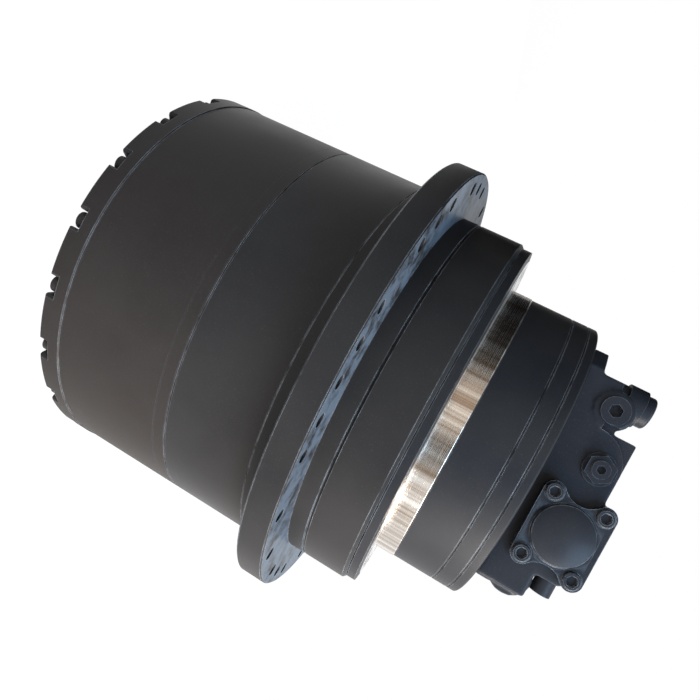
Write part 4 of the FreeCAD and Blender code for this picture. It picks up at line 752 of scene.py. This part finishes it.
def valve_block():
    """Cast rear cover: a plate on the casing, two tiers, and bosses along the spools."""
    plate = drum("valve_block_casting", CASE_R - 2, CASE_TOP, PLATE_TOP, sides=SIDES)
    trim = slab("plate_trim", (PLATE_LEFT, BLOCK_FRONT, CASE_TOP - 5), (PLATE_RIGHT, CASE_R, PLATE_TOP + 5))
    combine(plate, trim, "INTERSECT")
    low_corner = (BLOCK_LEFT, BLOCK_FRONT, CASE_TOP)
    step_corner = (TOP_TIER_LEFT, BLOCK_FRONT, CASE_TOP)
    fuse(plate, slab("low_tier", low_corner, (BLOCK_RIGHT, BLOCK_REAR, LOW_TIER_TOP)))
    fuse(plate, slab("top_tier", step_corner, (BLOCK_RIGHT, BLOCK_REAR, BLOCK_TOP)))
    fuse(plate, slab("side_lug", (0, BLOCK_FRONT, PLATE_TOP - 1), (LUG_RIGHT, LUG_REAR, LUG_TOP)))
    fuse(plate, along_y("round_boss", ROUND_BOSS_R, ROUND_BOSS_FRONT, LUG_REAR, ROUND_BOSS_X, ROUND_BOSS_Z))
    fuse(plate, along_y("speed_boss", SPEED_BOSS_R, BLOCK_FRONT - SPEED_BOSS_L, BLOCK_REAR + SPEED_BOSS_L,
                        SPEED_X, SPEED_Z))
    for name, y, turn in (("cap_seat_near", BLOCK_FRONT, FRONT), ("cap_seat_far", BLOCK_REAR, REAR)):
        fuse(plate, placed(cap_plate(name, -CAP_SEAT_L, 0), SPOOL_X, y, SPOOL_Z, turn))
    fuse(plate, drum("drain_lug", DRAIN_LUG_R, DRAIN_LUG_LOW, DRAIN_LUG_TOP, DRAIN_X, DRAIN_Y))
    cast(plate, grain=1.9, passes=3)
    cut(plate, front_corner())
    above = BLOCK_TOP + 5
    cut(plate, drum("drain_seat", DRAIN_COLLAR_R + 0.5, DRAIN_LUG_TOP - 0.2, above, DRAIN_X, DRAIN_Y))
    for x, y in TOP_BOLTS:
        cut(plate, drum("bolt_pocket", TOP_BOLT_POCKET_R, BLOCK_TOP - TOP_BOLT_SUNK, BLOCK_TOP + 25, x, y))
    for y in MAIN_PORTS_Y:
        cut(plate, drum("main_port_cutter", MAIN_PORT_R, BLOCK_TOP - MAIN_PORT_DEPTH, above, MAIN_PORT_X, y))
    cut(plate, along_y("spool_bore", SPOOL_BORE_R, BLOCK_FRONT - 5, BLOCK_REAR + 5, SPOOL_X, SPOOL_Z))
    cut(plate, along_y("speed_bore", SPEED_BORE_R, BLOCK_FRONT - 15, BLOCK_REAR + 15, SPEED_X, SPEED_Z))
    cut(plate, drum("bearing_bore", REAR_BEARING_R, CASE_TOP - 5, CASE_TOP + REAR_BEARING_DEPTH))
    smooth(plate, 40)
    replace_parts(dress(plate, "case", BLOCK_PAINT), "rear_cover")


def spool_cap(name, turn, y, replaced):
    """Domed cap on four lobes, with a sunk seat for each screw."""
    cap = cap_plate(name, 0, CAP_T)
    for sx in (-1, 1):
        for sz in (-1, 1):
            cut(cap, drum("screw_seat", CAP_SCREW_R + 0.3, CAP_T - CAP_SCREW_SUNK, CAP_T + 5,
                          sx * CAP_SCREW_DX, sz * CAP_SCREW_DZ))
    base, crown_h = CAP_T + CAP_DOME_RISE, CAP_DOME_H - CAP_DOME_RISE
    crown_r = (CAP_DOME_R ** 2 + crown_h ** 2) / (2 * crown_h)
    outline = [(AXIS, CAP_T - 2), (CAP_DOME_R + 1.5, CAP_T - 2), (CAP_DOME_R + 1.5, CAP_T),
               (CAP_DOME_R, CAP_T + 1.5)]
    steps = 10
    for step in range(steps + 1):
        radius = max(CAP_DOME_R * (1 - step / steps), AXIS)
        outline.append((radius, base + crown_h - crown_r + math.sqrt(crown_r ** 2 - radius ** 2)))
    fuse(cap, turned("cap_dome", outline, 96))
    soften(cap, 0.8)
    placed(cap, SPOOL_X, y, SPOOL_Z, turn=turn)
    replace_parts(dress(cap, "case", FITTING_PAINT), replaced)


def cap_screw():
    """Socket-head screw, head up, with its underside at the origin."""
    outline = [(AXIS, 0), (CAP_SCREW_R - 0.6, 0), (CAP_SCREW_R, 0.6), (CAP_SCREW_R, CAP_SCREW_H - 1.0),
               (CAP_SCREW_R - 1.0, CAP_SCREW_H), (5.7, CAP_SCREW_H), (5.0, CAP_SCREW_H - 0.6),
               (AXIS, CAP_SCREW_H - 0.6)]
    screw = turned("cap_screw", outline, 48)
    deselect_all()
    bpy.ops.mesh.primitive_cylinder_add(vertices=6, radius=CAP_SCREW_SOCKET_R * MM, depth=10 * MM,
                                        location=(0, 0, (CAP_SCREW_H + 1) * MM))
    socket = named("hexagon_socket")
    bpy.ops.object.transform_apply()
    cut(screw, socket)
    return screw


def cap_screws():
    model = cap_screw()
    screws = []
    seat = CAP_T - CAP_SCREW_SUNK
    for y, turn in ((BLOCK_FRONT - seat, FRONT), (BLOCK_REAR + seat, REAR)):
        for sx in (-1, 1):
            for sz in (-1, 1):
                screws.append(placed(copied(model, "cap_screw"), SPOOL_X + sx * CAP_SCREW_DX, y,
                                     SPOOL_Z + sz * CAP_SCREW_DZ, turn=turn))
    bpy.data.objects.remove(model)
    group = joined("cap_screw_heads", screws)
    smooth(group, 30)
    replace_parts(dress(group, "case", FITTING_PAINT), "cap_screws")


dress_cad_nodes()
end_cover()
ring_gear_wall()
hub_housing()
motor_case()
valve_block()
spool_cap("spool_cap_near", FRONT, BLOCK_FRONT, "spool_cap_front")
spool_cap("spool_cap_far", REAR, BLOCK_REAR, "spool_cap_rear")
cap_screws()


# ---------------------------------------------------------------- studio
def seen_directly(n):
    """1 for what the camera sees, itself or in metal and glass, and 0 for light on a matt face."""
    path = n.add("ShaderNodeLightPath").outputs
    seen = n.math("MAXIMUM", path["Is Camera Ray"], path["Is Glossy Ray"])
    return n.math("MAXIMUM", seen, path["Is Transmission Ray"])


def floor_material():
    """Pale floor that keeps a soft shadow and reads as white from the camera."""
    material, n = new_material("studio_white")
    matt = n.add("ShaderNodeBsdfDiffuse", {"Color": (0.8, 0.8, 0.8, 1)})
    glow = n.add("ShaderNodeEmission", {"Color": (1, 1, 1, 1), "Strength": 1.06})
    share = n.math("MULTIPLY", seen_directly(n), 0.93)
    both = n.add("ShaderNodeMixShader", {0: share, 1: matt.outputs[0], 2: glow.outputs[0]})
    shader_out(n, both)
    return material


def studio():
    deselect_all()
    bpy.ops.mesh.primitive_plane_add(size=14, location=(0, 0, 0))
    floor = named("floor")
    floor.data.materials.append(floor_material())

    world = bpy.data.worlds.new("studio_world")
    world.use_nodes = True
    world.node_tree.nodes.clear()
    n = Nodes(world.node_tree)
    strength = n.ramp(seen_directly(n), 0.0, 1.0, 0.25, 1.0)
    background = n.add("ShaderNodeBackground", {"Color": (1, 1, 1, 1), "Strength": strength})
    n.add("ShaderNodeOutputWorld", {"Surface": background.outputs[0]})
    bpy.context.scene.world = world


def dark_card(name, place, turn, size):
    """Black card out of view, which keeps the pale studio off one side of the paint."""
    deselect_all()
    bpy.ops.mesh.primitive_plane_add(size=size, location=place,
                                     rotation=(math.pi / 2, 0, math.radians(turn)))
    card = named(name)
    bpy.ops.object.transform_apply()
    material, n = new_material(name + "_black")
    shader_out(n, n.add("ShaderNodeBsdfDiffuse", {"Color": (0.004, 0.004, 0.004, 1)}))
    card.data.materials.append(material)
    card.visible_camera = False


def area_light(name, place, target, size, power, colour=(1, 1, 1)):
    bpy.ops.object.light_add(type="AREA", location=place)
    lamp = bpy.context.object
    lamp.name = name
    lamp.data.shape = "RECTANGLE"
    lamp.data.size, lamp.data.size_y = size
    lamp.data.energy = power
    lamp.data.color = colour
    lamp.rotation_euler = (Vector(target) - Vector(place)).to_track_quat("-Z", "Y").to_euler()


def camera():
    """Camera rolled so that the drive lies aslant, motor down to the right."""
    right = Vector((-0.47284, 0.20139, 0.85783))
    down = Vector((0.88071, 0.07722, 0.46732))
    ahead = Vector((0.02788, 0.97646, -0.21388))
    data = bpy.data.cameras.new("studio_camera")
    data.sensor_width = 36.0
    data.lens = 30.55
    data.shift_x = 0.0215
    data.shift_y = 0.0414
    obj = bpy.data.objects.new("studio_camera", data)
    bpy.context.scene.collection.objects.link(obj)
    turn = Matrix((right, -down, -ahead)).transposed().to_4x4()
    obj.matrix_world = Matrix.Translation((0.0, -0.76196, 0.4316)) @ turn
    bpy.context.scene.camera = obj


studio()
dark_card("side_card", (-1.3, 0.3, 0.6), 90, 3.0)
dark_card("front_card", (-0.3, -3.3, 0.6), -15, 7.5)
area_light("key", (2.2, -0.6, 1.4), (0, 0, 0.3), (1.6, 1.2), 128, (1.0, 0.92, 0.85))
area_light("sky", (0.7, -1.3, 1.9), (0, 0, 0.5), (1.4, 1.2), 58, (0.46, 0.71, 1.0))
area_light("fill", (-0.6, -2.4, 0.9), (0, 0, 0.3), (2.0, 2.0), 12, (1.0, 0.90, 0.80))
camera()
bpy.context.scene.view_settings.view_transform = "Standard"
